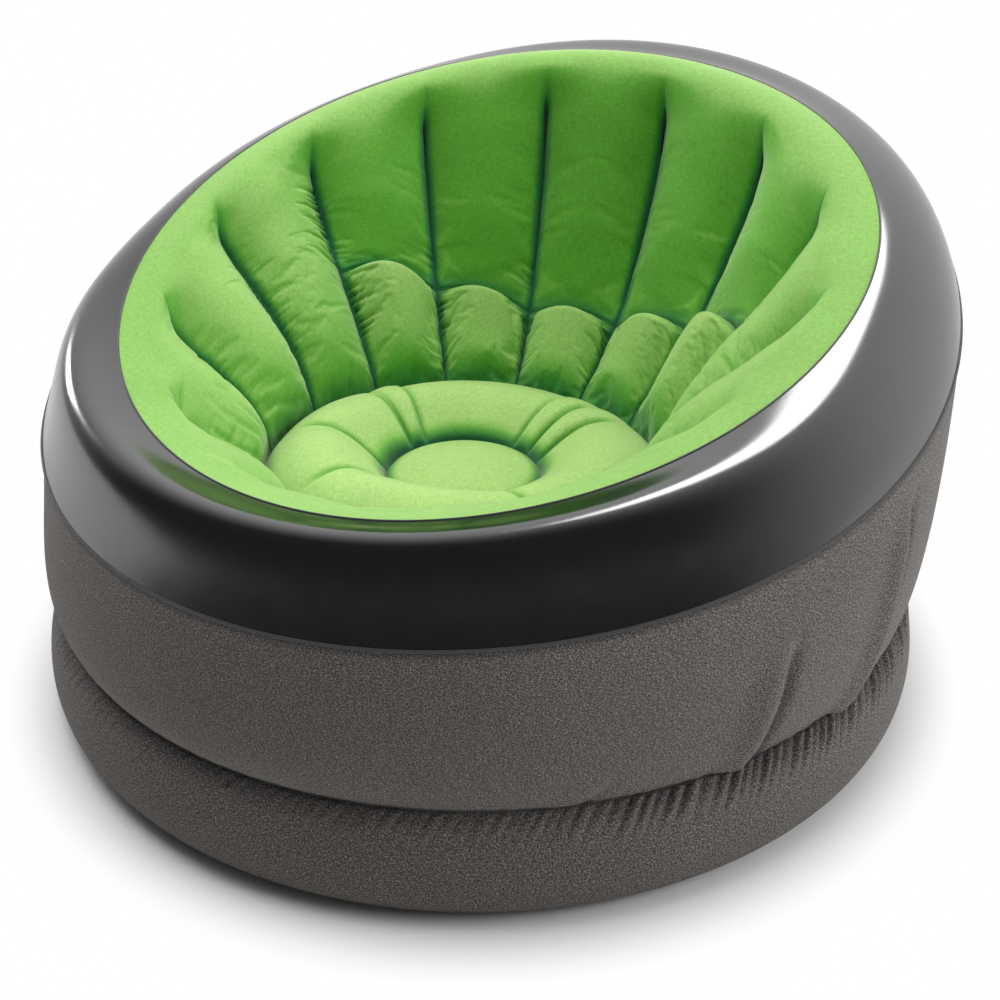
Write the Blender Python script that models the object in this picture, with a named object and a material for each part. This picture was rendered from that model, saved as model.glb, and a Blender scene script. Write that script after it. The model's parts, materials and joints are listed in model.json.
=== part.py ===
"""An inflatable armchair: welded sheets over tension webs, with a two-stage air valve at the back.

Metres, +Z up. The front faces -Y and the origin is on the floor, at the middle of the base.
Angles run round the Z axis from the front, so 90 degrees is +X and 180 degrees is the back.
"""

import math

import bmesh
import bpy
from mathutils import Vector
from mathutils.bvhtree import BVHTree


class Loop:
    """A seam that runs round the chair: an oval that leans back, with a fuller rear and a dished height."""

    def __init__(self, half_width, half_depth, height, centre_y=0.0, egg=0.0, rise=0.0, dish=0.0):
        self.half_width = half_width
        self.half_depth = half_depth
        self.height = height
        self.centre_y = centre_y
        self.egg = egg
        self.rise = rise
        self.dish = dish

    def at(self, angle):
        return Vector((
            self.half_width * math.sin(angle),
            self.centre_y - self.half_depth * math.cos(angle) + self.egg * math.cos(2 * angle),
            self.height - self.rise * math.cos(angle) + self.dish * math.cos(2 * angle),
        ))

    def middle(self):
        return Vector((0.0, self.centre_y, self.height))

    def level(self, point):
        """The point straight above or below, at this seam's height."""
        return Vector((point.x, point.y, self.height))


class SeatLoop(Loop):
    """The level round seam of the seat, with its angles counted round the bowl's middle."""

    def __init__(self, radius, height, centre_y, middle_y):
        super().__init__(radius, radius, height, centre_y)
        self.middle_y = middle_y

    def at(self, angle):
        offset = self.centre_y - self.middle_y
        reach = math.sqrt(self.half_width**2 - (offset * math.sin(angle)) ** 2) - offset * math.cos(angle)
        return Vector((reach * math.sin(angle), self.middle_y - reach * math.cos(angle), self.height))


# Sheets, the welded flange inside each seam, and the room left between pieces
OUTER_SHEET = 0.0005
FLOCKED_SHEET = 0.0008
WEB_SHEET = 0.0004
SEAM_GAP = 0.0005
FLANGE_GAP = 0.0006
FLANGE_DEPTH = 0.0080
PIECE_GAP = 0.0003
CUT_OVERRUN = 0.010
MERGE_DISTANCE = 0.000001

# Wall seam, between the gloss rim and the woven-look wall; its rise is half the back's above the front
WALL_HALF_WIDTH = 0.547
WALL_FLATTENING = 0.016
WALL_HEIGHT = 0.449
WALL_CENTRE_Y = 0.020
WALL_EGG = -0.010
WALL_RISE = 0.178
WALL_DISH = 0.026

# Rim seam, between the flocked bowl and the gloss rim, inside and above the wall seam
RIM_BAND_WIDTH = 0.100
RIM_FLATTENING = 0.020
RIM_HEIGHT = 0.524
RIM_CENTRE_Y = 0.017
RIM_EGG = -0.008
RIM_RISE = 0.155

# Channel tops, where the seams between the channels start below the rounded shoulder of the bowl
SHOULDER_WIDTH = 0.037
SHOULDER_DEPTH = 0.039
SHOULDER_DROP = 0.046
TOPS_CENTRE_Y = 0.008

# Waist seam and floor seam, both round, inside the wall seam
WAIST_INSET = 0.015
WAIST_HEIGHT = 0.127
FLOOR_INSET = 0.007

# Seat: a ring of puffs round a small middle puff, and the bowl's middle, which its channels run to
SEAT_RADIUS = 0.250
SEAT_HEIGHT = 0.240
SEAT_CENTRE_Y = -0.050
BOWL_MIDDLE_Y = -0.016
DISC_RADIUS = 0.098
DISC_HEIGHT = 0.232
SEAT_PUFF = 0.042
SEAT_FRONT_PUFF = 0.057
SEAT_TUFT_DEPTH = 0.018
TUFT_CROWN_SHARE = 0.30
DISC_PUFF = 0.024

# Channels of the bowl, and how far they stand out of their seams near the top and at the foot
CHANNEL_COUNT = 14
BACK_CHANNEL_COUNT = 5
BACK_PUFF = 0.034
BACK_FOOT_PUFF = 0.030
SIDE_PUFF = 0.052
SIDE_FOOT_PUFF = 0.048
FRONT_PUFF = 0.036
FRONT_FOOT_PUFF = 0.036
FOOT_FADE_SHARE = 0.12
FOOT_LIFT_SHARE = 0.86
PUFF_ROUNDNESS = 0.62
END_ROUNDNESS = 0.7

# Each channel's rounded top, and where its seams start to sink below it
CREST_START_SHARE = 0.20
CREST_ROUND_SHARE = 0.50
CREST_END_SHARE = 0.36
SHOULDER_RUN_SHARE = 0.42
SEAM_START_SHARE = 0.22
FRONT_SEAM_START_SHARE = 0.60
SEAM_SINK_SHARE = 0.52

# The crease that crosses the back channels: lowest at the middle of the back, and arched in each
CREASE_BACK_SHARE = 0.68
CREASE_SIDE_SHARE = 0.38
CREASE_ARCH_SHARE = 0.022
ARCH_ROUNDNESS = 0.8
CREASE_PUFF_SHARE = 0.20
CREASE_ABOVE_SHARE = 0.06
CREASE_BELOW_SHARE = 0.07

# How each sheet's curve leaves and meets its seams: angles above the horizontal, and handle lengths
RIM_CROWN_FRONT = math.radians(10)
RIM_CROWN_BACK = math.radians(-16)
RIM_SKIRT = math.radians(-74)
WALL_FALL = math.radians(-86)
WALL_TUCK = math.radians(-128)
BASE_SWELL = math.radians(-35)
BASE_TUCK = math.radians(-178)
RIM_CROWN_REACH = 0.040
RIM_SKIRT_REACH = 0.062
WALL_FALL_REACH = 0.085
WALL_TUCK_REACH = 0.050
BASE_SWELL_REACH = 0.028
BASE_TUCK_REACH = 0.059
SHOULDER_SHARE = 0.55
SHOULDER_END_SHARE = 0.30

# Middle points of the channel seams, as shares of the way in and of the way down from top to seat
BACK_UPPER_SHARES = (0.06, 0.34)
BACK_LOWER_SHARES = (0.50, 0.90)
SIDE_UPPER_SHARES = (0.10, 0.20)
SIDE_LOWER_SHARES = (0.92, 0.48)

# Inner tension sheets, which hold the pinched waist, the channels and the seat
WEB_DROP = 0.0022
WEB_SCALLOP = 0.045
WEB_EDGE_GAP = 0.004
WAIST_OPENING_SHARES = (0.30, 0.70)
DRUM_OPENING_SHARES = (0.30, 0.65)

# Valve, at the middle of the back; its axis runs along Y
VALVE_HEIGHT = 0.300
PATCH_RADIUS = 0.0460
PATCH_SHEET = 0.0010
NECK_RADIUS = 0.0250
NECK_CLEARANCE = 0.0005
BORE_RADIUS = 0.0210
NECK_DEPTH = 0.0260
LIP_RADIUS = 0.0300
LIP_THICKNESS = 0.0030
PLATE_RADIUS = 0.0270
PLATE_THICKNESS = 0.0022
PLUG_CLEARANCE = 0.0006
PLUG_TAPER = 0.0012
PLUG_DEPTH = 0.0080
PLUG_WALL = 0.0018
TUBE_RADIUS = 0.0105
TUBE_BORE_RADIUS = 0.0080
TUBE_DEPTH = 0.0140
CAP_RADIUS = 0.0112
CAP_THICKNESS = 0.0030
CAP_PLUG_CLEARANCE = 0.0005
CAP_PLUG_TAPER = 0.0005
CAP_PLUG_DEPTH = 0.0045
FLAP_RADIUS = 0.0095
FLAP_THICKNESS = 0.0008

# Hinges of the valve's moving pieces: a hook on a strap, round the pin of a wire staple
STOPPER_HINGE_REACH = 0.0070
STOPPER_STRAP_WIDTH = 0.0120
STOPPER_STRAP_THICKNESS = 0.0014
STOPPER_PIN_RADIUS = 0.0012
CAP_HINGE_REACH = 0.0038
CAP_STRAP_WIDTH = 0.0060
CAP_STRAP_THICKNESS = 0.0008
CAP_PIN_RADIUS = 0.0006
FLAP_HINGE_REACH = 0.0035
FLAP_STRAP_WIDTH = 0.0050
FLAP_STRAP_THICKNESS = 0.0006
FLAP_PIN_RADIUS = 0.0006
PIN_CLEARANCE = 0.0003
HOOK_WALL = 0.0006
HOOK_MOUTH = math.radians(35)
LEG_CLEARANCE = 0.0006
LEG_BEND = 0.0020

# Mesh fineness
CHANNEL_STEP_COUNT = 4
RIM_ROW_COUNT = 6
WALL_ROW_COUNT = 5
BASE_ROW_COUNT = 6
SHOULDER_ROW_COUNT = 2
UPPER_ROW_COUNT = 4
LOWER_ROW_COUNT = 4
ROW_CROWDING = 1.6
SEAT_ROW_COUNT = 5
DISC_ROW_COUNT = 3
WEB_ROW_COUNT = 3
PATCH_ROW_COUNT = 2
ROUND_STEP_COUNT = 24
HOOK_STEP_COUNT = 8
PIN_BEVEL_COUNT = 2
LENGTH_STEP_COUNT = 16
FINE_STEP_COUNT = 200
PROBE_SHARE = 0.001
SHARP_ANGLE = math.radians(50)

COLOURS = {
    "flocked green": (0.265, 0.545, 0.060, 1.0),
    "gloss charcoal": (0.022, 0.022, 0.024, 1.0),
    "woven grey": (0.105, 0.098, 0.094, 1.0),
    "plain grey": (0.060, 0.060, 0.062, 1.0),
    "clear white": (0.720, 0.730, 0.730, 1.0),
    "valve grey": (0.180, 0.180, 0.190, 1.0),
}
ROUGHNESS = {
    "flocked green": 0.95,
    "gloss charcoal": 0.20,
    "woven grey": 0.80,
    "plain grey": 0.50,
    "clear white": 0.45,
    "valve grey": 0.40,
}

WALL_HALF_DEPTH = WALL_HALF_WIDTH - WALL_FLATTENING
RIM_HALF_WIDTH = WALL_HALF_WIDTH - RIM_BAND_WIDTH
RIM_HALF_DEPTH = RIM_HALF_WIDTH - RIM_FLATTENING
TOPS_HALF_WIDTH = RIM_HALF_WIDTH - SHOULDER_WIDTH
TOPS_HALF_DEPTH = RIM_HALF_DEPTH - SHOULDER_DEPTH
TOPS_HEIGHT = RIM_HEIGHT - SHOULDER_DROP
WAIST_RADIUS = WALL_HALF_WIDTH - WAIST_INSET
FLOOR_RADIUS = WAIST_RADIUS - FLOOR_INSET

RIM = Loop(RIM_HALF_WIDTH, RIM_HALF_DEPTH, RIM_HEIGHT, RIM_CENTRE_Y, RIM_EGG, RIM_RISE)
WALL = Loop(WALL_HALF_WIDTH, WALL_HALF_DEPTH, WALL_HEIGHT, WALL_CENTRE_Y, WALL_EGG, WALL_RISE, WALL_DISH)
WAIST = Loop(WAIST_RADIUS, WAIST_RADIUS, WAIST_HEIGHT)
FLOOR = Loop(FLOOR_RADIUS, FLOOR_RADIUS, 0.0)
TOPS = Loop(TOPS_HALF_WIDTH, TOPS_HALF_DEPTH, TOPS_HEIGHT, TOPS_CENTRE_Y, 0.0, RIM_RISE)
SEAT = SeatLoop(SEAT_RADIUS, SEAT_HEIGHT, SEAT_CENTRE_Y, BOWL_MIDDLE_Y)
DISC = Loop(DISC_RADIUS, DISC_RADIUS, DISC_HEIGHT, SEAT_CENTRE_Y)

CHANNEL_ANGLE = 2 * math.pi / CHANNEL_COUNT
BACK_START = math.pi - BACK_CHANNEL_COUNT * CHANNEL_ANGLE / 2
BACK_END = math.pi + BACK_CHANNEL_COUNT * CHANNEL_ANGLE / 2
STEP_COUNT = CHANNEL_COUNT * CHANNEL_STEP_COUNT
TUFT_STEPS = (3, 5, 8, 19, 21, 27, 34, 45)
TUFT_ANGLES = sorted((BACK_START + 2 * math.pi / STEP_COUNT * step) % (2 * math.pi) for step in TUFT_STEPS)
UPWARDS = Vector((0.0, 0.0, 1.0))


def outwards(angle):
    """The level direction that points away from the chair's axis."""
    return Vector((math.sin(angle), -math.cos(angle), 0.0))


def heading(angle, slope):
    return outwards(angle) * math.cos(slope) + UPWARDS * math.sin(slope)


def bezier(a, b, c, d, t):
    u = 1 - t
    return a * u**3 + b * (3 * u * u * t) + c * (3 * u * t * t) + d * t**3


def blended(low, high, share):
    return low + (high - low) * share


def swept(angle, start, leave, leave_reach, end, arrive, arrive_reach, t):
    """A sheet's curve at one angle, between two seams, with its heading and handle at each."""
    a = start.at(angle)
    d = end.at(angle)
    return bezier(a, a + heading(angle, leave) * leave_reach, d - heading(angle, arrive) * arrive_reach, d, t)


def crown_slope(angle):
    return blended(RIM_CROWN_BACK, RIM_CROWN_FRONT, (1 + math.cos(angle)) / 2)


def rim_surface(angle, t):
    return swept(angle, RIM, crown_slope(angle), RIM_CROWN_REACH, WALL, RIM_SKIRT, RIM_SKIRT_REACH, t)


def wall_surface(angle, t):
    return swept(angle, WALL, WALL_FALL, WALL_FALL_REACH, WAIST, WALL_TUCK, WALL_TUCK_REACH, t)


def base_surface(angle, t):
    return swept(angle, WAIST, BASE_SWELL, BASE_SWELL_REACH, FLOOR, BASE_TUCK, BASE_TUCK_REACH, t)


def seam_points(angle):
    """The four Bezier points of a channel's seam line, from its top down to the seat."""
    top = TOPS.at(angle)
    seat = SEAT.at(angle)
    backness = max(0.0, -math.cos(angle))
    points = [top]
    for back, side in ((BACK_UPPER_SHARES, SIDE_UPPER_SHARES), (BACK_LOWER_SHARES, SIDE_LOWER_SHARES)):
        inwards = blended(side[0], back[0], backness)
        down = blended(side[1], back[1], backness)
        points.append(Vector((
            blended(top.x, seat.x, inwards),
            blended(top.y, seat.y, inwards),
            blended(top.z, seat.z, down),
        )))
    return points + [seat]


def seam_line(angle, t):
    return bezier(*seam_points(angle), t)


def shoulder(angle, t):
    """The rounded edge of the bowl, from the rim seam to the channels' tops."""
    a = RIM.at(angle)
    seam = seam_points(angle)
    chord = (seam[0] - a).length
    fall = (seam[1] - seam[0]).normalized()
    return bezier(a, a - heading(angle, crown_slope(angle)) * chord * SHOULDER_SHARE,
                  seam[0] - fall * chord * SHOULDER_END_SHARE, seam[0], t)


def puffed(across):
    """How full a puff is at a share of the way across it: nothing at its seams, one in the middle."""
    return max(0.0, math.sin(math.pi * across)) ** PUFF_ROUNDNESS


def within(share):
    """The share, kept between nothing and one."""
    return min(1.0, max(0.0, share))


def smooth(share):
    """Rises from nothing to one, evenly at both ends."""
    t = within(share)
    return t * t * (3 - 2 * t)


def across_channel(angle):
    return (angle - BACK_START) / CHANNEL_ANGLE % 1.0


def in_back(angle):
    return BACK_START < angle % (2 * math.pi) < BACK_END


def round_end(share):
    """How full a puff is at a share of the way in from its end: nothing at it, one from there on."""
    return math.sin(math.pi / 2 * within(share)) ** END_ROUNDNESS


def round_chair(front, side, back, angle):
    """A value that changes evenly round the chair, from the front past the sides to the back."""
    turned = math.cos(angle)
    return side + (front - side) * max(0.0, turned) + (back - side) * max(0.0, -turned)


def crease_share(angle):
    """Where the crease crosses a channel, as a share of the way from its top to the seat."""
    line = blended(CREASE_SIDE_SHARE, CREASE_BACK_SHARE, max(0.0, -math.cos(angle)))
    if in_back(angle):
        line -= CREASE_ARCH_SHARE * max(0.0, math.sin(math.pi * across_channel(angle))) ** ARCH_ROUNDNESS
    return line


def crest_height(angle, t):
    """How far a channel's crest stands out of its seams, t of the way from its top to the seat."""
    top = round_chair(FRONT_PUFF, SIDE_PUFF, BACK_PUFF, angle)
    foot = round_chair(FRONT_FOOT_PUFF, SIDE_FOOT_PUFF, BACK_FOOT_PUFF, angle)
    height = blended(top, foot, t) * round_end((1 - t) / FOOT_FADE_SHARE)
    if in_back(angle):
        above = crease_share(angle) - t
        pinch = round_end(above / CREASE_ABOVE_SHARE if above > 0 else -above / CREASE_BELOW_SHARE)
        height *= blended(CREASE_PUFF_SHARE, 1.0, pinch)
    return height


def surface_normal(surface, angle, t, towards):
    """The unit normal of a surface at a point, on the side of the direction towards."""
    low = max(0.0, t - PROBE_SHARE)
    high = min(1.0, t + PROBE_SHARE)
    round_it = surface(angle + PROBE_SHARE, t) - surface(angle - PROBE_SHARE, t)
    along_it = surface(angle, high) - surface(angle, low)
    normal = round_it.cross(along_it).normalized()
    return normal if normal.dot(towards) > 0 else -normal


def seam_normal(angle, t):
    return surface_normal(seam_line, angle, t, UPWARDS - outwards(angle))


def crest_line(angle, t):
    """A channel stands square out of its seams at the top, and leans upwards towards the seat."""
    direction = seam_normal(angle, t).lerp(UPWARDS, t * FOOT_LIFT_SHARE).normalized()
    return seam_line(angle, t) + direction * crest_height(angle, t)


def rounded_top(angle, run):
    """A channel's crest from the rim seam down to where it is fullest: one rounded curve."""
    start = RIM.at(angle)
    end = crest_line(angle, CREST_START_SHARE)
    fall = (crest_line(angle, CREST_START_SHARE + PROBE_SHARE) - end).normalized()
    reach = (end - start).length
    return bezier(start, start - heading(angle, crown_slope(angle)) * reach * CREST_ROUND_SHARE,
                  end - fall * reach * CREST_END_SHARE, end, run)


def bowl_surface(angle, t):
    """The bowl from the rim seam, where t is -1, past the channels' tops at 0, to the seat at 1."""
    if t < 0:
        seam = shoulder(angle, 1 + t)
        run = SHOULDER_RUN_SHARE * (1 + t)
    else:
        seam = seam_line(angle, t)
        run = within(SHOULDER_RUN_SHARE + (1 - SHOULDER_RUN_SHARE) * t / CREST_START_SHARE)
    crest = rounded_top(angle, run) if run < 1 else crest_line(angle, t)
    seam_start = round_chair(FRONT_SEAM_START_SHARE, SEAM_START_SHARE, SEAM_START_SHARE, angle)
    sunk = smooth((run - seam_start) / SEAM_SINK_SHARE)
    return crest.lerp(seam, (1 - puffed(across_channel(angle))) * sunk)


def bowl_share(angle, row):
    """A row's share along the bowl: rows run from -1 at the rim, past 0 at the channels' tops and 1 at
    the crease, to 2 at the seat, and crowd together at the crease."""
    crease = crease_share(angle)
    if row < 0:
        return row
    if row < 1:
        return crease * (1 - (1 - row) ** ROW_CROWDING)
    return blended(crease, 1.0, within(row - 1) ** ROW_CROWDING)


def bowl_rows(angle, row):
    return bowl_surface(angle, bowl_share(angle, row))


def tuft_dip(angle):
    """One on a tuft of the seat ring, nothing midway between two."""
    turn = angle % (2 * math.pi)
    edges = [TUFT_ANGLES[-1] - 2 * math.pi] + TUFT_ANGLES + [TUFT_ANGLES[0] + 2 * math.pi]
    for before, after in zip(edges, edges[1:]):
        if before <= turn <= after:
            return 1 - puffed((turn - before) / (after - before))
    return 0.0


def seat_surface(angle, t):
    """The seat ring, from its outer seam to the middle puff's."""
    point = SEAT.at(angle).lerp(DISC.at(angle), t)
    puff = blended(SEAT_PUFF, SEAT_FRONT_PUFF, (1 + math.cos(angle)) / 2)
    inner = blended(TUFT_CROWN_SHARE, 1.0, smooth(2 * t - 1))
    return point + UPWARDS * puffed(t) * (puff - SEAT_TUFT_DEPTH * inner * tuft_dip(angle))


def disc_surface(angle, t):
    """The middle puff, from its seam to its centre."""
    point = DISC.at(angle).lerp(DISC.middle(), t)
    return point + UPWARDS * puffed(t / 2) * DISC_PUFF


def floor_surface(angle, t):
    return FLOOR.at(angle).lerp(FLOOR.middle(), t)


def diaphragm_surface(angle, t):
    """The level tension sheet, from the waist seam in to the seat's drum."""
    return WAIST.at(angle).lerp(WAIST.level(SEAT.at(angle)), t)


def seat_drum_surface(angle, t):
    return SEAT.at(angle).lerp(FLOOR.level(SEAT.at(angle)), t)


def disc_drum_surface(angle, t):
    return DISC.at(angle).lerp(FLOOR.level(DISC.at(angle)), t)


def share_of(length, surface, angle=0.0):
    """The share of a surface's run, from its start, that a length covers."""
    steps = [surface(angle, k / LENGTH_STEP_COUNT) for k in range(LENGTH_STEP_COUNT + 1)]
    return length / sum((b - a).length for a, b in zip(steps, steps[1:]))


def spread(low, high, rows):
    return [blended(low, high, k / rows) for k in range(rows + 1)]


def inset_shares(surface, start_gap, end_gap, rows):
    """Shares for a sheet's rows, with a gap left to the seam at each end."""
    return spread(share_of(start_gap, surface), 1 - share_of(end_gap, surface), rows)


def round_angles(steps, start=0.0):
    return [start + 2 * math.pi * k / steps for k in range(steps)]


ANGLES = round_angles(STEP_COUNT, BACK_START)


def wall_back_near(height, reach):
    """How far back the wall comes within reach of a height, at the middle of the back."""
    points = [wall_surface(math.pi, k / FINE_STEP_COUNT) for k in range(FINE_STEP_COUNT + 1)]
    return max(point.y for point in points if abs(point.z - height) < reach)


VALVE = Vector((0.0, wall_back_near(VALVE_HEIGHT, LIP_RADIUS) + PIECE_GAP, VALVE_HEIGHT))


def clear_scene():
    for thing in list(bpy.data.objects):
        bpy.data.objects.remove(thing, do_unlink=True)


def material(name):
    found = bpy.data.materials.get(name)
    if found:
        return found
    made = bpy.data.materials.new(name)
    made.use_nodes = True
    shader = made.node_tree.nodes["Principled BSDF"]
    shader.inputs["Base Color"].default_value = COLOURS[name]
    shader.inputs["Roughness"].default_value = ROUGHNESS[name]
    made.diffuse_color = COLOURS[name]
    return made


def place_object(thing, place, parent):
    """Puts an object at a place given in the chair's frame, whatever it is parented to."""
    bpy.context.scene.collection.objects.link(thing)
    thing.parent = parent
    thing.location = place - (parent.matrix_world.translation if parent else Vector())
    bpy.context.view_layer.update()
    return thing


def add_object(name, mesh, finish, place=Vector(), parent=None):
    mesh.materials.append(material(finish))
    return place_object(bpy.data.objects.new(name, mesh), place, parent)


def finish_mesh(name, shape):
    """Turns a bmesh into a mesh whose round faces are smooth and whose sharp edges stay sharp."""
    made = bpy.data.meshes.new(name)
    shape.to_mesh(made)
    shape.free()
    made.shade_smooth()
    made.set_sharp_from_angle(angle=SHARP_ANGLE)
    return made


def never(row, column):
    return False


def grid_mesh(name, rows, closed=True, skip=never):
    """A sheet of quads over rows of points; closed joins each row's end to its start."""
    shape = bmesh.new()
    corners = [[shape.verts.new(point) for point in row] for row in rows]
    columns = len(rows[0])
    for i, (row, below) in enumerate(zip(corners, corners[1:])):
        for j in range(columns if closed else columns - 1):
            if not skip(i, j):
                k = (j + 1) % columns
                shape.faces.new((row[j], below[j], below[k], row[k]))
    bmesh.ops.delete(shape, geom=[v for v in shape.verts if not v.link_faces], context="VERTS")
    bmesh.ops.remove_doubles(shape, verts=shape.verts, dist=MERGE_DISTANCE)
    return finish_mesh(name, shape)


def add_sheet_thickness(thing, thickness, side=-1.0):
    """Turns a surface into a closed sheet; side says on which side of it the thickness lies."""
    solid = thing.modifiers.new("Sheet thickness", "SOLIDIFY")
    solid.thickness = thickness
    solid.offset = side
    solid.use_even_offset = True


def sheet(name, surface, shares, finish, thickness, angles=None, closed=True, skip=never, side=-1.0):
    """A closed solid over the part of a surface between the first and last of its shares."""
    rows = [[surface(angle, t) for angle in angles or ANGLES] for t in shares]
    thing = add_object(name, grid_mesh(name, rows, closed, skip), finish)
    add_sheet_thickness(thing, thickness, side)
    return thing


def seam_flange(name, loop, slope, sheets):
    """The two sheets' edges welded face to face, turned inside along a slope."""
    start = max(FLOCKED_SHEET, OUTER_SHEET) + FLANGE_GAP

    def surface(angle, t):
        return loop.at(angle) + heading(angle, slope) * (start + FLANGE_DEPTH * t)

    return sheet(name, surface, (0.0, 1.0), "plain grey", sheets, side=0.0)


def flange_room():
    """How far into the chair a seam's flange reaches, with the gap beyond it."""
    return max(FLOCKED_SHEET, OUTER_SHEET) + FLANGE_GAP + FLANGE_DEPTH + SEAM_GAP


def channel_rows():
    return spread(0.0, 1.0, UPPER_ROW_COUNT) + spread(1.0, 2.0, LOWER_ROW_COUNT)[1:]


def make_outer_sheets():
    half = SEAM_GAP / 2
    shares = inset_shares(rim_surface, half, half, RIM_ROW_COUNT)
    sheet("rim_wrap", rim_surface, shares, "gloss charcoal", OUTER_SHEET)
    shares = inset_shares(wall_surface, half, half, WALL_ROW_COUNT)
    wall = sheet("side_wall", wall_surface, shares, "woven grey", OUTER_SHEET)
    shares = inset_shares(base_surface, half, half, BASE_ROW_COUNT)
    sheet("base_wall", base_surface, shares, "woven grey", OUTER_SHEET)
    edge = share_of(half, floor_surface)
    shape = bmesh.new()
    shape.faces.new([shape.verts.new(floor_surface(angle, edge)) for angle in reversed(ANGLES)])
    underside = add_object("floor_sheet", finish_mesh("floor_sheet", shape), "plain grey")
    add_sheet_thickness(underside, OUTER_SHEET)
    return wall


def make_bowl():
    """The flocked bowl is one sheet, but for the lumbar panel set in below the back's crease."""
    half = SEAM_GAP / 2
    rim_edge = share_of(half, shoulder) - 1
    seat_edge = share_of(half, seam_line)
    rows = spread(rim_edge, 0.0, SHOULDER_ROW_COUNT)[:-1] + channel_rows()
    rows[-1] -= seat_edge
    panel_row = SHOULDER_ROW_COUNT + UPPER_ROW_COUNT
    panel_columns = BACK_CHANNEL_COUNT * CHANNEL_STEP_COUNT

    def in_panel(row, column):
        return row >= panel_row and column < panel_columns

    sheet("bowl_panel", bowl_rows, rows, "flocked green", FLOCKED_SHEET, skip=in_panel, side=1.0)

    gap_angle = SEAM_GAP / SEAT_RADIUS
    gap_share = share_of(SEAM_GAP, seam_line)
    rows = spread(1.0, 2.0 - seat_edge, LOWER_ROW_COUNT)
    rows[0] += (gap_share / (1 - CREASE_BACK_SHARE)) ** (1 / ROW_CROWDING)
    angles = ANGLES[:panel_columns] + [BACK_END - gap_angle]
    angles[0] += gap_angle
    sheet("lumbar_panel", bowl_rows, rows, "flocked green", FLOCKED_SHEET, angles, closed=False, side=1.0)


def make_seat():
    half = SEAM_GAP / 2
    shares = inset_shares(seat_surface, half, half, SEAT_ROW_COUNT)
    sheet("seat_ring", seat_surface, shares, "flocked green", FLOCKED_SHEET, side=1.0)
    shares = spread(share_of(half, disc_surface), 1.0, DISC_ROW_COUNT)
    sheet("seat_disc", disc_surface, shares, "flocked green", FLOCKED_SHEET, ANGLES[::2], side=1.0)


def make_seam_flanges():
    down = -math.pi / 2
    seam_flange("rim_flange", RIM, down, FLOCKED_SHEET + OUTER_SHEET)
    seam_flange("wall_flange", WALL, math.pi, OUTER_SHEET + OUTER_SHEET)
    seam_flange("waist_flange", WAIST, math.pi, OUTER_SHEET + OUTER_SHEET)
    seam_flange("floor_flange", FLOOR, -down, OUTER_SHEET + OUTER_SHEET)
    seam_flange("seat_flange", SEAT, down, FLOCKED_SHEET + FLOCKED_SHEET)
    seam_flange("disc_flange", DISC, down, FLOCKED_SHEET + FLOCKED_SHEET)


def between(value, shares):
    return shares[0] < value < shares[1]


def make_drum(name, surface, angles, rows):
    """An upright tension sheet under a seat seam, with openings that let the air through."""
    shares = inset_shares(surface, flange_room(), OUTER_SHEET + PIECE_GAP, rows)

    def opening(row, column):
        middle = (row + 1 / 2) / rows
        return between(middle, DRUM_OPENING_SHARES) and column % CHANNEL_STEP_COUNT in (1, 2)

    sheet(name, surface, shares, "plain grey", WEB_SHEET, angles, skip=opening, side=0.0)


def make_diaphragm():
    inner_gap = WEB_SHEET / 2 + PIECE_GAP
    shares = inset_shares(diaphragm_surface, flange_room(), inner_gap, WEB_ROW_COUNT)

    def opening(row, column):
        middle = (row + 1 / 2) / WEB_ROW_COUNT
        return between(middle, WAIST_OPENING_SHARES) and column % CHANNEL_STEP_COUNT in (1, 2)

    sheet("waist_diaphragm", diaphragm_surface, shares, "plain grey", WEB_SHEET, skip=opening, side=0.0)


def pulled_in(points, gap):
    """A line of points with both its ends drawn in along it by a gap."""
    first = points[0].lerp(points[1], gap / (points[1] - points[0]).length)
    last = points[-1].lerp(points[-2], gap / (points[-2] - points[-1]).length)
    return [first] + points[1:-1] + [last]


def upright_web(name, top, bottom, scallop):
    """A web between two lists of points, its first edge hollowed towards the second by scallop."""
    rows = []
    for k in range(WEB_ROW_COUNT + 1):
        down = k / WEB_ROW_COUNT
        hollow = scallop * math.sin(math.pi * down)
        row = []
        for column, (high, low) in enumerate(zip(top, bottom)):
            fade = (1 - column / (len(top) - 1)) ** 2
            row.append(high.lerp(low, down) + hollow * fade)
        rows.append(row)
    thing = add_object(name, grid_mesh(name, rows, closed=False), "plain grey")
    add_sheet_thickness(thing, WEB_SHEET, 0.0)


def make_channel_webs():
    """One web under each seam between two channels, down to the diaphragm."""
    lift = UPWARDS * (WEB_SHEET / 2 + PIECE_GAP)
    drop = FLOCKED_SHEET + WEB_DROP
    low = share_of(flange_room() + WEB_EDGE_GAP, diaphragm_surface)
    high = 1 - share_of(WEB_EDGE_GAP, diaphragm_surface)
    for k in range(CHANNEL_COUNT):
        angle = ANGLES[k * CHANNEL_STEP_COUNT]
        shares = [bowl_share(angle, row) for row in channel_rows()]
        seam = [bowl_surface(angle, t) - seam_normal(angle, t) * drop for t in shares]
        top = pulled_in(seam, WEB_EDGE_GAP)
        bottom = [diaphragm_surface(angle, blended(low, high, t)) + lift for t in shares]
        upright_web(f"channel_web_{k + 1:02d}", top, bottom, -outwards(angle) * WEB_SCALLOP)


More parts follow.
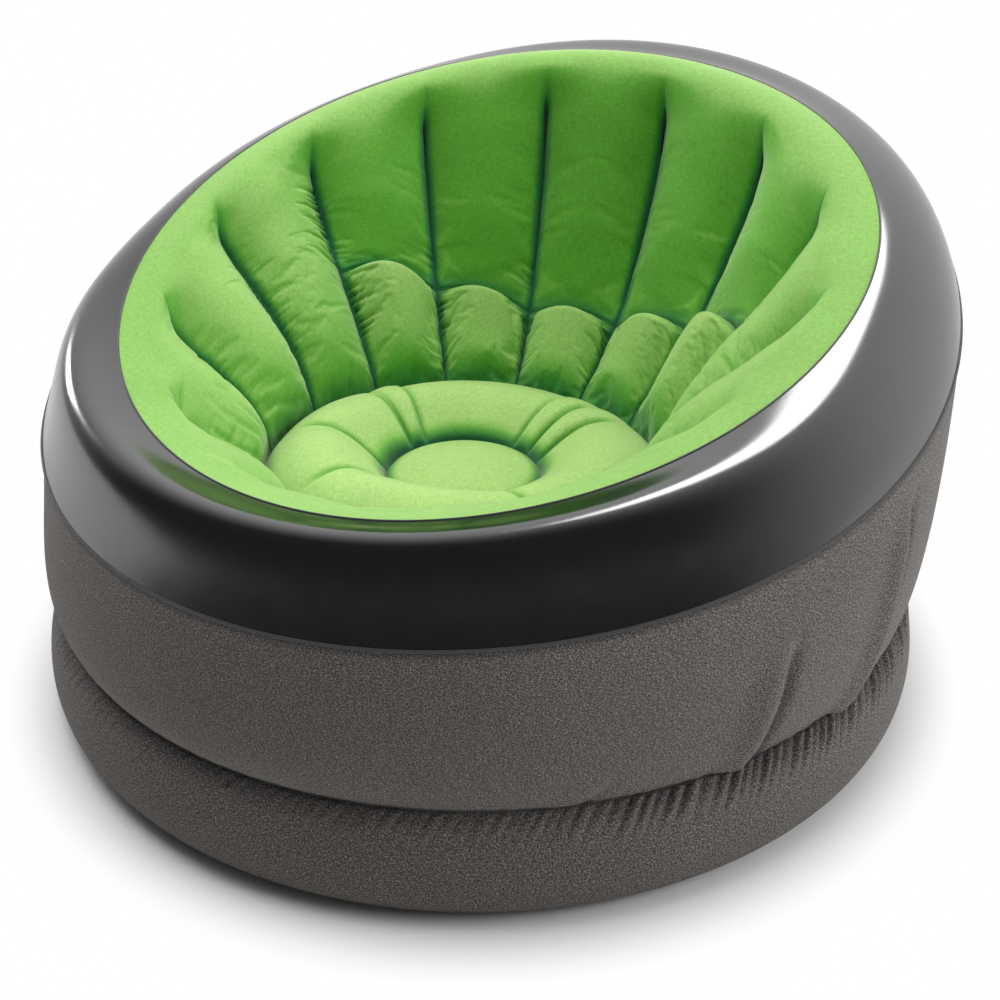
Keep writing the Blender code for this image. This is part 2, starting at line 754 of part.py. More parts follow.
def make_seat_webs():
    """One web under each tuft of the seat ring, between the two drums and down to the floor."""
    shares = inset_shares(seat_surface, SEAM_GAP / 2, SEAM_GAP / 2, SEAT_ROW_COUNT)
    drop = UPWARDS * (FLOCKED_SHEET + WEB_DROP)
    lift = UPWARDS * (OUTER_SHEET + PIECE_GAP)
    for k, angle in enumerate(TUFT_ANGLES):
        top = pulled_in([seat_surface(angle, t) - drop for t in shares], WEB_EDGE_GAP)
        bottom = [FLOOR.level(point) + lift for point in top]
        upright_web(f"seat_web_{k + 1}", top, bottom, Vector())


def turned(name, outline, finish, parent=None):
    """A solid turned about the valve's axis, from (radius, distance outwards) pairs.

    An outline that starts and ends on the axis is left open there.
    """
    shape = bmesh.new()
    corners = [shape.verts.new((0.0, out, radius)) for radius, out in outline]
    pairs = list(zip(corners, corners[1:]))
    if outline[0][0] > 0:
        pairs.append((corners[-1], corners[0]))
    edges = [shape.edges.new(pair) for pair in pairs]
    bmesh.ops.spin(shape, geom=corners + edges, cent=(0, 0, 0), axis=(0, 1, 0), angle=2 * math.pi,
                   steps=ROUND_STEP_COUNT, use_merge=True)
    bmesh.ops.remove_doubles(shape, verts=shape.verts, dist=MERGE_DISTANCE)
    bmesh.ops.recalc_face_normals(shape, faces=shape.faces)
    return add_object(name, finish_mesh(name, shape), finish, VALVE, parent)


def arc(radius, start, end):
    angles = spread(start, end, HOOK_STEP_COUNT)
    return [(radius * math.cos(a), radius * math.sin(a)) for a in angles]


def hook_radius(pin_radius):
    return pin_radius + PIN_CLEARANCE + HOOK_WALL


def hooked_strap(name, reach, width, thickness, pin_radius, finish, place, parent, upright):
    """A strap from the hinge out to the piece it carries; its hook snaps round the pin."""
    inner = pin_radius + PIN_CLEARANCE
    outer = hook_radius(pin_radius)
    bar = math.asin(min(1.0, thickness / 2 / outer))
    top = math.pi / 2
    mouth = HOOK_MOUTH / 2
    outline = [(thickness / 2, reach)] + arc(outer, top - bar, mouth - top)
    outline += arc(inner, mouth - top, 3 * top - mouth)
    outline += arc(outer, 3 * top - mouth, top + bar) + [(-thickness / 2, reach)]
    shape = bmesh.new()
    face = shape.faces.new([shape.verts.new((-width / 2, y, z * upright)) for y, z in outline])
    grown = bmesh.ops.extrude_face_region(shape, geom=[face])
    moved = [g for g in grown["geom"] if isinstance(g, bmesh.types.BMVert)]
    bmesh.ops.translate(shape, verts=moved, vec=(width, 0, 0))
    bmesh.ops.recalc_face_normals(shape, faces=shape.faces)
    return add_object(name, finish_mesh(name, shape), finish, place, parent)


def staple(name, half_span, pin_radius, bends, finish, place, parent=None):
    """A wire staple: the pin along X, then legs that follow the bends, (outwards, up) from its ends."""
    leg = [Vector((half_span, 0.0, 0.0))] + [Vector((half_span, out, up)) for out, up in bends]
    path = [Vector((-p.x, p.y, p.z)) for p in reversed(leg)] + leg
    wire = bpy.data.curves.new(name, "CURVE")
    wire.dimensions = "3D"
    wire.bevel_depth = pin_radius
    wire.bevel_resolution = PIN_BEVEL_COUNT
    wire.use_fill_caps = True
    line = wire.splines.new("POLY")
    line.points.add(len(path) - 1)
    for point, place_in_wire in zip(line.points, path):
        point.co = (*place_in_wire, 1.0)
    wire.materials.append(material(finish))
    return place_object(bpy.data.objects.new(name, wire), place, parent)


def staple_half_span(strap_width, pin_radius):
    return strap_width / 2 + LEG_CLEARANCE + pin_radius


def rim_drop(radius, half_span, pin_radius):
    """How far below a round edge's centre the edge is, beside the inner side of a staple's leg."""
    return math.sqrt(radius**2 - (half_span - pin_radius) ** 2)


def add_pivot(name, place, parent=None):
    return place_object(bpy.data.objects.new(name, None), place, parent)


def make_valve(wall):
    """The patch and neck at the wall, then the stopper with its cap and check flap."""
    tree = BVHTree.FromObject(wall, bpy.context.evaluated_depsgraph_get())
    start = NECK_RADIUS + NECK_CLEARANCE
    inwards = Vector((0.0, -1.0, 0.0))
    depth = inwards * (OUTER_SHEET + SEAM_GAP)

    def patch_surface(angle, t):
        radius = blended(start, PATCH_RADIUS, t)
        outside = VALVE + Vector((radius * math.sin(angle), CUT_OVERRUN, -radius * math.cos(angle)))
        return tree.ray_cast(outside, inwards)[0] + depth

    sheet("valve_patch", patch_surface, spread(0.0, 1.0, PATCH_ROW_COUNT), "plain grey", PATCH_SHEET,
          round_angles(ROUND_STEP_COUNT), side=1.0)

    bore = turned("wall_hole_cutter", [(0.0, -NECK_DEPTH), (start, -NECK_DEPTH), (start, CUT_OVERRUN),
                                       (0.0, CUT_OVERRUN)], "plain grey")
    bore.hide_render = True
    bore.display_type = "WIRE"
    cut = wall.modifiers.new("Valve hole", "BOOLEAN")
    cut.object = bore
    cut.solver = "EXACT"

    turned("valve_neck", [(BORE_RADIUS, -NECK_DEPTH), (NECK_RADIUS, -NECK_DEPTH), (NECK_RADIUS, 0.0),
                          (LIP_RADIUS, 0.0), (LIP_RADIUS, LIP_THICKNESS), (BORE_RADIUS, LIP_THICKNESS)],
           "valve grey")
    make_stopper()


def make_stopper():
    base = LIP_THICKNESS + PIECE_GAP
    middle = base + PLATE_THICKNESS / 2
    top = base + PLATE_THICKNESS
    pivot_drop = PLATE_RADIUS + STOPPER_HINGE_REACH
    place = VALVE + Vector((0.0, middle, -pivot_drop))
    pivot = add_pivot("stopper_pivot", place)
    plug_top = BORE_RADIUS - PLUG_CLEARANCE
    plug_end = plug_top - PLUG_TAPER
    turned("stopper", [
        (TUBE_BORE_RADIUS, top), (PLATE_RADIUS, top), (PLATE_RADIUS, base), (plug_top, base),
        (plug_end, base - PLUG_DEPTH), (plug_end - PLUG_WALL, base - PLUG_DEPTH),
        (plug_top - PLUG_WALL, base), (TUBE_RADIUS, base), (TUBE_RADIUS, base - TUBE_DEPTH),
        (TUBE_BORE_RADIUS, base - TUBE_DEPTH),
    ], "valve grey", pivot)
    hooked_strap("stopper_strap", STOPPER_HINGE_REACH - PIECE_GAP, STOPPER_STRAP_WIDTH,
                 STOPPER_STRAP_THICKNESS, STOPPER_PIN_RADIUS, "valve grey", place, pivot, 1)
    span = staple_half_span(STOPPER_STRAP_WIDTH, STOPPER_PIN_RADIUS)
    rise = pivot_drop - rim_drop(LIP_RADIUS, span, STOPPER_PIN_RADIUS) - PIECE_GAP
    back = LIP_THICKNESS / 2 - middle
    staple("stopper_staple", span, STOPPER_PIN_RADIUS, [(back, 0.0), (back, rise)], "valve grey", place)
    make_cap(top, pivot)
    make_flap(base - TUBE_DEPTH, pivot)


def make_cap(plate_top, stopper_pivot):
    base = plate_top + PIECE_GAP
    middle = base + CAP_THICKNESS / 2
    place = VALVE + Vector((0.0, middle, -CAP_RADIUS - CAP_HINGE_REACH))
    pivot = add_pivot("cap_pivot", place, stopper_pivot)
    plug_top = TUBE_BORE_RADIUS - CAP_PLUG_CLEARANCE
    turned("inflation_cap", [
        (0.0, base + CAP_THICKNESS), (CAP_RADIUS, base + CAP_THICKNESS), (CAP_RADIUS, base), (plug_top, base),
        (plug_top - CAP_PLUG_TAPER, base - CAP_PLUG_DEPTH), (0.0, base - CAP_PLUG_DEPTH),
    ], "valve grey", pivot)
    hooked_strap("cap_strap", CAP_HINGE_REACH - PIECE_GAP, CAP_STRAP_WIDTH, CAP_STRAP_THICKNESS,
                 CAP_PIN_RADIUS, "valve grey", place, pivot, 1)
    span = staple_half_span(CAP_STRAP_WIDTH, CAP_PIN_RADIUS)
    leg = [(plate_top + PIECE_GAP - middle, 0.0)]
    staple("cap_staple", span, CAP_PIN_RADIUS, leg, "valve grey", place, stopper_pivot)


def make_flap(tube_end, stopper_pivot):
    top = tube_end - PIECE_GAP
    middle = top - FLAP_THICKNESS / 2
    pivot_rise = FLAP_RADIUS + FLAP_HINGE_REACH
    place = VALVE + Vector((0.0, middle, pivot_rise))
    pivot = add_pivot("flap_pivot", place, stopper_pivot)
    turned("check_flap", [
        (0.0, top), (FLAP_RADIUS, top), (FLAP_RADIUS, top - FLAP_THICKNESS), (0.0, top - FLAP_THICKNESS),
    ], "clear white", pivot)
    hooked_strap("flap_strap", FLAP_HINGE_REACH - PIECE_GAP, FLAP_STRAP_WIDTH, FLAP_STRAP_THICKNESS,
                 FLAP_PIN_RADIUS, "clear white", place, pivot, -1)
    span = staple_half_span(FLAP_STRAP_WIDTH, FLAP_PIN_RADIUS)
    drop = rim_drop(TUBE_RADIUS, span, FLAP_PIN_RADIUS) + PIECE_GAP - pivot_rise
    legs = [(LEG_BEND, 0.0), (LEG_BEND, drop)]
    staple("flap_staple", span, FLAP_PIN_RADIUS, legs, "valve grey", place, stopper_pivot)


def main():
    clear_scene()
    wall = make_outer_sheets()
    make_bowl()
    make_seat()
    make_seam_flanges()
    make_diaphragm()
    make_drum("seat_drum", seat_drum_surface, ANGLES, WEB_ROW_COUNT)
    make_drum("disc_drum", disc_drum_surface, ANGLES[::2], WEB_ROW_COUNT)
    make_channel_webs()
    make_seat_webs()
    make_valve(wall)


main()
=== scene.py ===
"""The look of an inflatable armchair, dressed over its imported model.

Metres, +Z up. The front faces -Y. Angles run round the Z axis from the front, so 90 degrees is +X.
"""

import json
import math
from dataclasses import dataclass

import bmesh
import bpy
import numpy as np
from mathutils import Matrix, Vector
from mathutils.kdtree import KDTree


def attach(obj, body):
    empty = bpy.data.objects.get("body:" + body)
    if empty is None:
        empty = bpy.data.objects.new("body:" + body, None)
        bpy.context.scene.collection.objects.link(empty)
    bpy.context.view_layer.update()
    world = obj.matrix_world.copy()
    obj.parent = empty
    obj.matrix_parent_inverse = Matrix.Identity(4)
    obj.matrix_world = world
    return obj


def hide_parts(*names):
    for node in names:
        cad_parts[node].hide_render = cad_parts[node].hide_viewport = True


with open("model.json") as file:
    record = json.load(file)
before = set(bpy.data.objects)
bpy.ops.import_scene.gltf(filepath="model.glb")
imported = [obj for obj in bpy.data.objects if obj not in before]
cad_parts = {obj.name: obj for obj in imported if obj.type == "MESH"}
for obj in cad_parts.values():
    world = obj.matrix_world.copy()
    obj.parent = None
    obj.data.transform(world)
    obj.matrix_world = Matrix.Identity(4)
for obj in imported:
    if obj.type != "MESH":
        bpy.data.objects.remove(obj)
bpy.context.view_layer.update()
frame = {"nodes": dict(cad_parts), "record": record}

# Seams, of which the rim's, the wall's and the channels' tops are given in full below
RIM_RISE = 0.155
WAIST_RADIUS = 0.532
WAIST_HEIGHT = 0.127
FLOOR_RADIUS = 0.525
SEAT_RADIUS = 0.250
SEAT_HEIGHT = 0.240
SEAT_CENTRE_Y = -0.050
BOWL_MIDDLE_Y = -0.016
DISC_RADIUS = 0.098
DISC_HEIGHT = 0.232

# Channels of the bowl, the crease across the back ones, and the seat's puffs. PUFFS, STARTS and SINKS are
# for the front, the sides and the back. BENDS, DRIFTS, REACHES, SIZES and SWAY, here and below, are waves,
# with a height, a rate and perhaps a shift
CHANNEL_COUNT = 14
BACK_CHANNEL_COUNT = 5
TOP_PUFFS = (0.036, 0.052, 0.034)
FOOT_PUFFS = (0.036, 0.048, 0.030)
CREST_START_SHARE = 0.20
CREST_ROUND_SHARE = 0.50
CREST_END_SHARE = 0.36
SHOULDER_RUN_SHARE = 0.42
SEAM_STARTS = (0.60, 0.20, 0.34)
SEAM_SINKS = (0.62, 0.62, 0.34)
FOOT_FADE_SHARE = 0.12
FOOT_LIFT_SHARE = 0.86
SEAM_SHADE_SHARE = 0.09
CREASE_BACK_SHARE = 0.68
CREASE_SIDE_SHARE = 0.38
CREASE_ARCH_SHARE = 0.022
CREASE_PUFF_SHARE = 0.10
CREASE_ABOVE_SHARE = 0.010
CREASE_LEAN = 0.42
CREASE_LEAN_SHARE = 0.26
CREASE_BELOW_SHARE = 0.065
CREASE_ARCH_ROUNDNESS = 0.8
LOWER_SWELL = 0.022
LOWER_SWELL_SCALE = 1.6
LOWER_SWELL_ROUNDNESS = 0.35
END_ROUNDNESS = 0.7
PUFF_ROUNDNESS = 0.62
SEAT_PUFF = 0.042
SEAT_FRONT_PUFF = 0.066
SEAT_TUFT_DEPTH = 0.018
TUFT_CROWN_SHARE = 0.36
TUFT_CREASE = 0.0035
TUFT_CREASE_WIDTH = 0.0045
TUFT_BENDS = (0.35, 2.1)
TUFT_CREASE_START = 0.12
TUFT_CREASE_FADES = (0.3, 0.05)
DISC_PUFF = 0.024
# Where the seat's tufts are, in quarters of a channel from the first back channel's start
TUFT_STEPS = (3, 5.5, 8, 19, 21, 27.5, 34, 45)

# The bowl's wrinkles: how its sheet is pressed as cloth, and how much of what it gives is kept
CLOTH_FRAMES = 20
CLOTH_SETTINGS = {
    "quality": 6,
    "mass": 0.15,
    "tension_stiffness": 25.0,
    "compression_stiffness": 25.0,
    "shear_stiffness": 8.0,
    "bending_stiffness": 0.15,
    "shrink_min": -0.035,
    "use_pressure": True,
    "uniform_pressure_force": 4.0,
}
HELD_FROM = 0.1
WRINKLE_REACH = 5
WRINKLE_CAP = 0.004
LEAST_WRINKLE = WRINKLE_CAP / 100
SIDE_WRINKLES = 0.55
BACK_WRINKLES = 0.28
WRINKLE_START = -0.3
WRINKLE_FADE = 0.6

# Painted shade and light: how much painted shade the soft sheets get beside their seams, at the crease and at
# the foot, how much painted light the green gets where it faces up, on the lower puffs and at the sides, and
# how solid each is
CREASE_UNSHADED = 0.2
FOOT_UNSHADED = 0.3
TOP_LIGHT_START = 0.30
TOP_LIGHT_RANGE = 0.38
LOW_FADES = (0.03, 0.24)
SIDE_FADE = 0.1
UPWARD_LIGHT = 0.42
LOW_PUFF_LIGHT = 0.48
SIDE_LIGHT = 0.20
SEAT_SHADE = 0.16
TUFT_SHADE = 0.7
DISC_SHADE = 0.2
WALL_SHADE = 0.05
BASE_UNSHADED = 0.84

# How each sheet leaves and meets its seams: slopes above the horizontal, and handle lengths
RIM_CROWN_FRONT = math.radians(12)
RIM_CROWN_BACK = math.radians(-16)
RIM_SKIRT = math.radians(-74)
RIM_FRONT_SKIRT = math.radians(-66)
WALL_FALL = (math.radians(-86), 0.085)
WALL_TUCK = (math.radians(-128), 0.050)
BASE_SWELL = (math.radians(-35), 0.028)
BASE_TUCK = (math.radians(-178), 0.059)
RIM_CROWN_REACH = 0.040
RIM_FRONT_REACH = 0.060
RIM_LIP = 0.021
RIM_LIP_SHARE = 0.52
RIM_LIP_FADE = 0.5
RIM_FRONT_START = 0.85
RIM_SKIRT_REACH = 0.062
SHOULDER_SHARE = 0.55
SHOULDER_END_SHARE = 0.30
BACK_UPPER_SHARES = (0.06, 0.34)
BACK_LOWER_SHARES = (0.50, 0.90)
SIDE_UPPER_SHARES = (0.10, 0.20)
SIDE_LOWER_SHARES = (0.92, 0.48)
PROBE_SHARE = 0.001

# How fine the skins' grids are: rows by columns. The bowl has so many steps across a channel and rows in
# each of its parts where it is pressed as cloth, and twice as many where it is shown
BOWL_STEPS = 18
SHOULDER_ROWS = 7
UPPER_ROWS = 50
LOWER_ROWS = 40
SEAM_CROWDING = 0.5
SEAT_GRID = (64, 448)
DISC_GRID = (32, 224)
RIM_GRID = (48, 448)
WALL_GRID = (96, 1344)
BASE_GRID = (72, 1792)
BEAD_GRID = (8, 448)
WELD_DISTANCE = 0.00001

# Puckers beside the channel seams: channel, side of it (0 right, 1 left), share along where they start
# and end, how far they run from the seam, how deep they are, and how far apart
SEAM_PUCKERS = [
    (5, 0, 0.14, 0.52, 0.075, 0.0058, 0.0150),
    (5, 1, 0.46, 0.84, 0.057, 0.0031, 0.0135),
    (4, 1, 0.53, 0.80, 0.073, 0.0061, 0.0165),
    (4, 1, 0.38, 0.49, 0.050, 0.0024, 0.0120),
    (4, 0, 0.46, 0.56, 0.062, 0.0037, 0.0130),
    (3, 1, 0.62, 0.80, 0.053, 0.0048, 0.0150),
    (3, 0, 0.50, 0.63, 0.060, 0.0037, 0.0130),
    (3, 0, 0.66, 0.74, 0.033, 0.0041, 0.0120),
    (2, 1, 0.69, 0.80, 0.037, 0.0034, 0.0130),
    (2, 0, 0.66, 0.82, 0.055, 0.0044, 0.0140),
    (1, 0, 0.60, 0.78, 0.055, 0.0044, 0.0145),
    (0, 0, 0.50, 0.74, 0.062, 0.0034, 0.0155),
    (6, 0, 0.34, 0.86, 0.050, 0.0022, 0.0140),
    (6, 1, 0.44, 0.80, 0.045, 0.0020, 0.0130),
    (13, 1, 0.20, 0.62, 0.060, 0.0024, 0.0150),
    (13, 0, 0.46, 0.84, 0.050, 0.0024, 0.0150),
    (12, 1, 0.34, 0.86, 0.045, 0.0020, 0.0140),
    (11, 1, 0.30, 0.80, 0.050, 0.0020, 0.0150),
    (8, 0, 0.30, 0.85, 0.045, 0.0020, 0.0145),
]
PUCKER_SLANTS = (0.30, -0.60)
PUCKER_DRIFTS = (0.22, 1.7)
PUCKER_SHIFT = 0.9
PUCKER_REACH = 0.68
PUCKER_REACHES = (0.32, 2.4)
PUCKER_FALL = 0.7
PUCKER_START = 0.005
PUCKER_FADES = (0.05, 0.05)

# Fine folds: channel, share across and along where each starts, the same where it ends, how far it bows,
# its half width and its depth in metres
FOLDS = [
    (7, 0.44, 0.42, 0.30, 0.97, 0.30, 0.0036, 0.0034),
    (7, 0.66, 0.34, 0.52, 0.97, 0.26, 0.0034, 0.0032),
    (7, 0.90, 0.44, 0.74, 0.98, 0.16, 0.0034, 0.0026),
    (7, 0.26, 0.62, 0.16, 0.96, 0.14, 0.0030, 0.0020),
    (6, 0.96, 0.84, 0.10, 0.93, 0.10, 0.0040, 0.0040),
    (8, 0.20, 0.40, 0.36, 0.95, 0.20, 0.0034, 0.0022),
    (12, 0.30, 0.52, 0.52, 0.96, 0.22, 0.0034, 0.0022),
    (11, 0.45, 0.50, 0.60, 0.96, 0.20, 0.0034, 0.0022),
    (5, 0.42, 0.985, 0.36, 0.90, 0.02, 0.0026, 0.0036),
    (5, 0.72, 0.985, 0.70, 0.93, 0.02, 0.0024, 0.0024),
    (4, 0.30, 0.985, 0.32, 0.93, 0.02, 0.0024, 0.0026),
    (4, 0.48, 0.985, 0.46, 0.91, 0.02, 0.0026, 0.0034),
    (3, 0.30, 0.985, 0.33, 0.87, 0.02, 0.0026, 0.0040),
    (3, 0.62, 0.985, 0.60, 0.93, 0.02, 0.0024, 0.0022),
    (2, 0.70, 0.985, 0.72, 0.88, 0.02, 0.0026, 0.0040),
    (2, 0.36, 0.985, 0.38, 0.92, 0.02, 0.0024, 0.0026),
    (1, 0.50, 0.985, 0.52, 0.91, 0.02, 0.0026, 0.0028),
    (0, 0.40, 0.985, 0.42, 0.92, 0.02, 0.0026, 0.0026),
]
FOLD_STEEPNESS = 0.3
FOLD_FADES = (0.15, 0.25)
FOLD_SWELL = 0.35
FOLD_SWELL_PLACE = 2.2
FOLD_SWELL_WIDTH = 1.3

# Folds of the side wall that rise from the waist: degrees at their foot and at their head, the share down
# the wall where they end, their depth, and how far the sheet swells beside them
WALL_FOLDS = [
    (57.5, 60, 0.26, 0.0095, 0.0075),
    (74.5, 79.5, 0.10, 0.0110, 0.0090),
    (38, 41, 0.62, 0.0022, 0.0018),
    (302, 296, 0.50, 0.0024, 0.0016),
    (243, 238, 0.40, 0.0040, 0.0030),
    (160, 166, 0.45, 0.0040, 0.0030),
]
WALL_FOLD_BOW = 0.22
WALL_FOLD_FADES = (0.25, 0.04)
WALL_FOLD_WIDTH = 0.008
WALL_SWELL_PLACE = 0.024
WALL_SWELL_WIDTH = 0.018
WALL_SWAY = (0.0010, 5, 0.6)

# Gathers at the waist, on the base and smaller ones on the foot of the side wall
GATHER_START = math.radians(30)
GATHER_END = math.radians(116)
GATHER_SIDE_FADES = (0.35, 0.35)
GATHER_FAINT = 0.30
GATHER_SPACING = 0.0150
GATHER_SLANT = 0.080
GATHER_DEPTH = 0.0070
GATHER_REACH = 0.38
GATHER_FADES = (0.06, 0.27)
SLOW_DRIFTS = (0.35, 0.31)
QUICK_DRIFTS = (0.22, 0.83, 1.3)
GATHER_SIZE = 0.72
GATHER_SIZES = (0.28, 1.9)
GATHER_ROUNDNESS = 0.8
# The painted shade on the base under the waist: where it ends, how it fades, and how strong it is where the
# gathers are faint and where they are strong
GATHER_SHADE_END = 0.24
GATHER_SHADE_FADE = 0.16
GATHER_SHADES = (0.35, 0.85)
BASE_FACING = 0.5
WALL_GATHER_START = 0.84
WALL_GATHER_FADES = (0.08, 0.03)
WALL_GATHER_DEPTH = 0.0018
WALL_GATHER_SPACING = GATHER_SPACING * 1.3

# The valve's middle on the back wall, its hole through the wall, and how near points move onto its edge
VALVE_HEIGHT = 0.300
PORT_RADIUS = 0.0258
PORT_EDGE_REACH = 1.5

# The photograph's camera: its place, the way that it looks, and its lens and sensor in millimetres
CAMERA_PLACE = (0.6461, -1.2214, 0.9244)
CAMERA_WAY = (-0.39714, 0.78353, -0.47787)
CAMERA_LENS = 42.84
CAMERA_SENSOR = 36.0

# The studio: where the floor turns white, and how bright the room is to the front and back
FLOOR_SIZE = 60.0
FLOOR_BLEND = (0.545, 0.635)
ROOM_FRONT = 0.05
ROOM_BACK = 1.0
ROOM_BLEND = (-0.40, 0.75)
WHITE = (1.0, 1.0, 1.0, 1.0)
# Each softbox: its name, place, what it points at, its size, its power, and if only the gloss mirrors it
SOFTBOXES = [
    ("overhead_softbox", (-0.60, 0.25, 2.7), (0.0, 0.0, 0.3), (2.2, 2.2), 57.0, False),
    ("left_softbox", (-2.4, 0.2, 1.5), (0.0, 0.0, 0.3), (1.2, 1.2), 15.0, False),
    ("right_softbox", (2.4, 0.2, 1.45), (0.1, 0.0, 0.35), (1.2, 1.2), 26.0, False),
    ("back_strip", (0.05, 1.3, 2.9), (0.35, -0.15, 0.45), (1.5, 1.2), 42.0, True),
    ("left_panel", (-2.7, 0.25, 1.35), (-0.34, -0.33, 0.40), (0.5, 0.6), 14.0, True),
]

CHANNEL_ANGLE = math.tau / CHANNEL_COUNT
BACK_START = math.pi - BACK_CHANNEL_COUNT * CHANNEL_ANGLE / 2
QUARTER_CHANNEL = CHANNEL_ANGLE / 4
UPWARDS = np.array([0.0, 0.0, 1.0])

# Colours by a mark or a shade: the green without painted light and in painted light, each darker in painted
# shade, the threads, and the grey in painted shade and out of it
GREENS_WITHOUT_LIGHT = [
    (0.0, (0.016, 0.110, 0.060)),
    (0.35, (0.045, 0.260, 0.055)),
    (0.75, (0.105, 0.385, 0.045)),
    (1.0, (0.140, 0.430, 0.050)),
]
GREENS_IN_LIGHT = [
    (0.0, (0.030, 0.170, 0.060)),
    (0.30, (0.120, 0.380, 0.065)),
    (0.65, (0.300, 0.570, 0.130)),
    (1.0, (0.435, 0.660, 0.210)),
]
THREAD_GREYS = [
    (0.30, (0.052, 0.050, 0.047)),
    (0.47, (0.138, 0.130, 0.122)),
    (0.56, (0.200, 0.187, 0.176)),
    (0.72, (0.420, 0.400, 0.380)),
]
SHADE_GREYS = [
    (0.0, (0.34, 0.34, 0.36)),
    (1.0, (0.88, 0.88, 0.88)),
]
THREAD_BROWN = (0.78, 0.60, 0.48, 1.0)
SHEEN_TINT = (0.90, 1.0, 0.62, 1.0)
GLOSS_BLACK = (0.0080, 0.0078, 0.0084, 1.0)
FLOOR_WHITE = (0.90, 0.90, 0.90, 1.0)
VINYL_GREY = (0.060, 0.060, 0.062, 1.0)
VALVE_GREY = (0.16, 0.16, 0.17, 1.0)
FILM_WHITE = (0.72, 0.73, 0.73, 1.0)


@dataclass
class Loop:
    """A seam round the chair: an oval that leans back, with a fuller rear and a dished height."""

    half_width: float
    half_depth: float
    height: float
    centre_y: float = 0.0
    egg: float = 0.0
    rise: float = 0.0
    dish: float = 0.0

    def at(self, angle):
        return np.stack([
            self.half_width * np.sin(angle),
            self.centre_y - self.half_depth * np.cos(angle) + self.egg * np.cos(2 * angle),
            self.height - self.rise * np.cos(angle) + self.dish * np.cos(2 * angle),
        ], axis=-1)


class SeatLoop:
    """The level round seam of the seat, with its angles counted round the bowl's middle."""

    def at(self, angle):
        offset = SEAT_CENTRE_Y - BOWL_MIDDLE_Y
        reach = -offset * np.cos(angle) + np.sqrt(SEAT_RADIUS**2 - (offset * np.sin(angle)) ** 2)
        return np.stack([reach * np.sin(angle), BOWL_MIDDLE_Y - reach * np.cos(angle),
                         SEAT_HEIGHT + 0 * angle], axis=-1)


RIM = Loop(half_width=0.447, half_depth=0.427, height=0.524, centre_y=0.017, egg=-0.008, rise=RIM_RISE)
WALL = Loop(half_width=0.547, half_depth=0.531, height=0.449, centre_y=0.020, egg=-0.010, rise=0.178,
            dish=0.026)
WAIST = Loop(WAIST_RADIUS, WAIST_RADIUS, WAIST_HEIGHT)
FLOOR = Loop(FLOOR_RADIUS, FLOOR_RADIUS, 0.0)
TOPS = Loop(half_width=0.410, half_depth=0.388, height=0.478, centre_y=0.008, rise=RIM_RISE)
SEAT = SeatLoop()
DISC = Loop(DISC_RADIUS, DISC_RADIUS, DISC_HEIGHT, SEAT_CENTRE_Y)
BEADS = [("rim_seam_bead", RIM, 0.0012), ("wall_seam_bead", WALL, 0.0016), ("waist_seam_bead", WAIST, 0.0012)]


def blended(low, high, share):
    return low + (high - low) * share


def clamped(value):
    return np.clip(value, 0.0, 1.0)


def smooth(value):
    """Nothing below zero, one above one, and an even curve between."""
    t = clamped(value)
    return t * t * (3 - 2 * t)


def between(value, start, end, fades):
    """One between a start and an end, and nothing outside them, with a smooth fade inside each."""
    return smooth((value - start) / fades[0]) * smooth((end - value) / fades[1])


def sine(place, height, rate, shift=0.0):
    return height * np.sin(rate * place + shift)


def turned_from(angle, line):
    """How far an angle has turned from a line, the short way round."""
    return (angle - line + math.pi) % math.tau - math.pi


def frontness(angle):
    """One at the middle of the front, a half at the sides, nothing at the middle of the back."""
    return (1 + np.cos(angle)) / 2


def backness(angle):
    """One at the middle of the back, nothing at the sides and the front."""
    return np.maximum(0.0, -np.cos(angle))


def column(share):
    """Shares as a last axis of one, to weigh points with."""
    return np.asarray(share)[..., None]


def unit(vectors):
    return vectors / np.linalg.norm(vectors, axis=-1, keepdims=True)


def heading(angle, slope):
    """A direction at an angle round the chair, with a slope above the horizontal."""
    level = np.cos(slope)
    return np.stack([np.sin(angle) * level, -np.cos(angle) * level, np.sin(slope) + 0 * angle], axis=-1)


def bezier(a, b, c, d, t):
    t = column(t)
    u = 1 - t
    return a * u**3 + b * (3 * u * u * t) + c * (3 * u * t * t) + d * t**3


def swept(angle, start, leave, end, arrive, t):
    """A sheet's curve between two seams, with its slope and the length of its handle at each."""
    a = start.at(angle)
    d = end.at(angle)
    return bezier(a, a + heading(angle, leave[0]) * leave[1], d - heading(angle, arrive[0]) * arrive[1], d, t)


def crown_slope(angle):
    return blended(RIM_CROWN_BACK, RIM_CROWN_FRONT, frontness(angle))


def rim_surface(angle, t):
    front = smooth(np.cos(angle) / RIM_FRONT_START)
    reach = column(blended(RIM_CROWN_REACH, RIM_FRONT_REACH, front))
    skirt = blended(RIM_SKIRT, RIM_FRONT_SKIRT, front)
    sheet = swept(angle, RIM, (crown_slope(angle), reach), WALL, (skirt, RIM_SKIRT_REACH), t)
    out = t / RIM_LIP_SHARE
    lip = out**2 * np.exp(1 - out**2) * smooth((1 - t) / RIM_LIP_FADE)
    return sheet + UPWARDS * column(RIM_LIP * lip * front)


def wall_surface(angle, t):
    return swept(angle, WALL, WALL_FALL, WAIST, WALL_TUCK, t)


def base_surface(angle, t):
    return swept(angle, WAIST, BASE_SWELL, FLOOR, BASE_TUCK, t)


def seam_points(angle):
    """The four Bezier points of a channel's seam line, from its top down to the seat."""
    top = TOPS.at(angle)
    seat = SEAT.at(angle)
    to_back = backness(angle)
    points = [top]
    for back, side in ((BACK_UPPER_SHARES, SIDE_UPPER_SHARES), (BACK_LOWER_SHARES, SIDE_LOWER_SHARES)):
        inwards = blended(side[0], back[0], to_back)
        down = blended(side[1], back[1], to_back)
        points.append(blended(top, seat, np.stack([inwards, inwards, down], axis=-1)))
    return points + [seat]


def seam_line(angle, t):
    return bezier(*seam_points(angle), t)


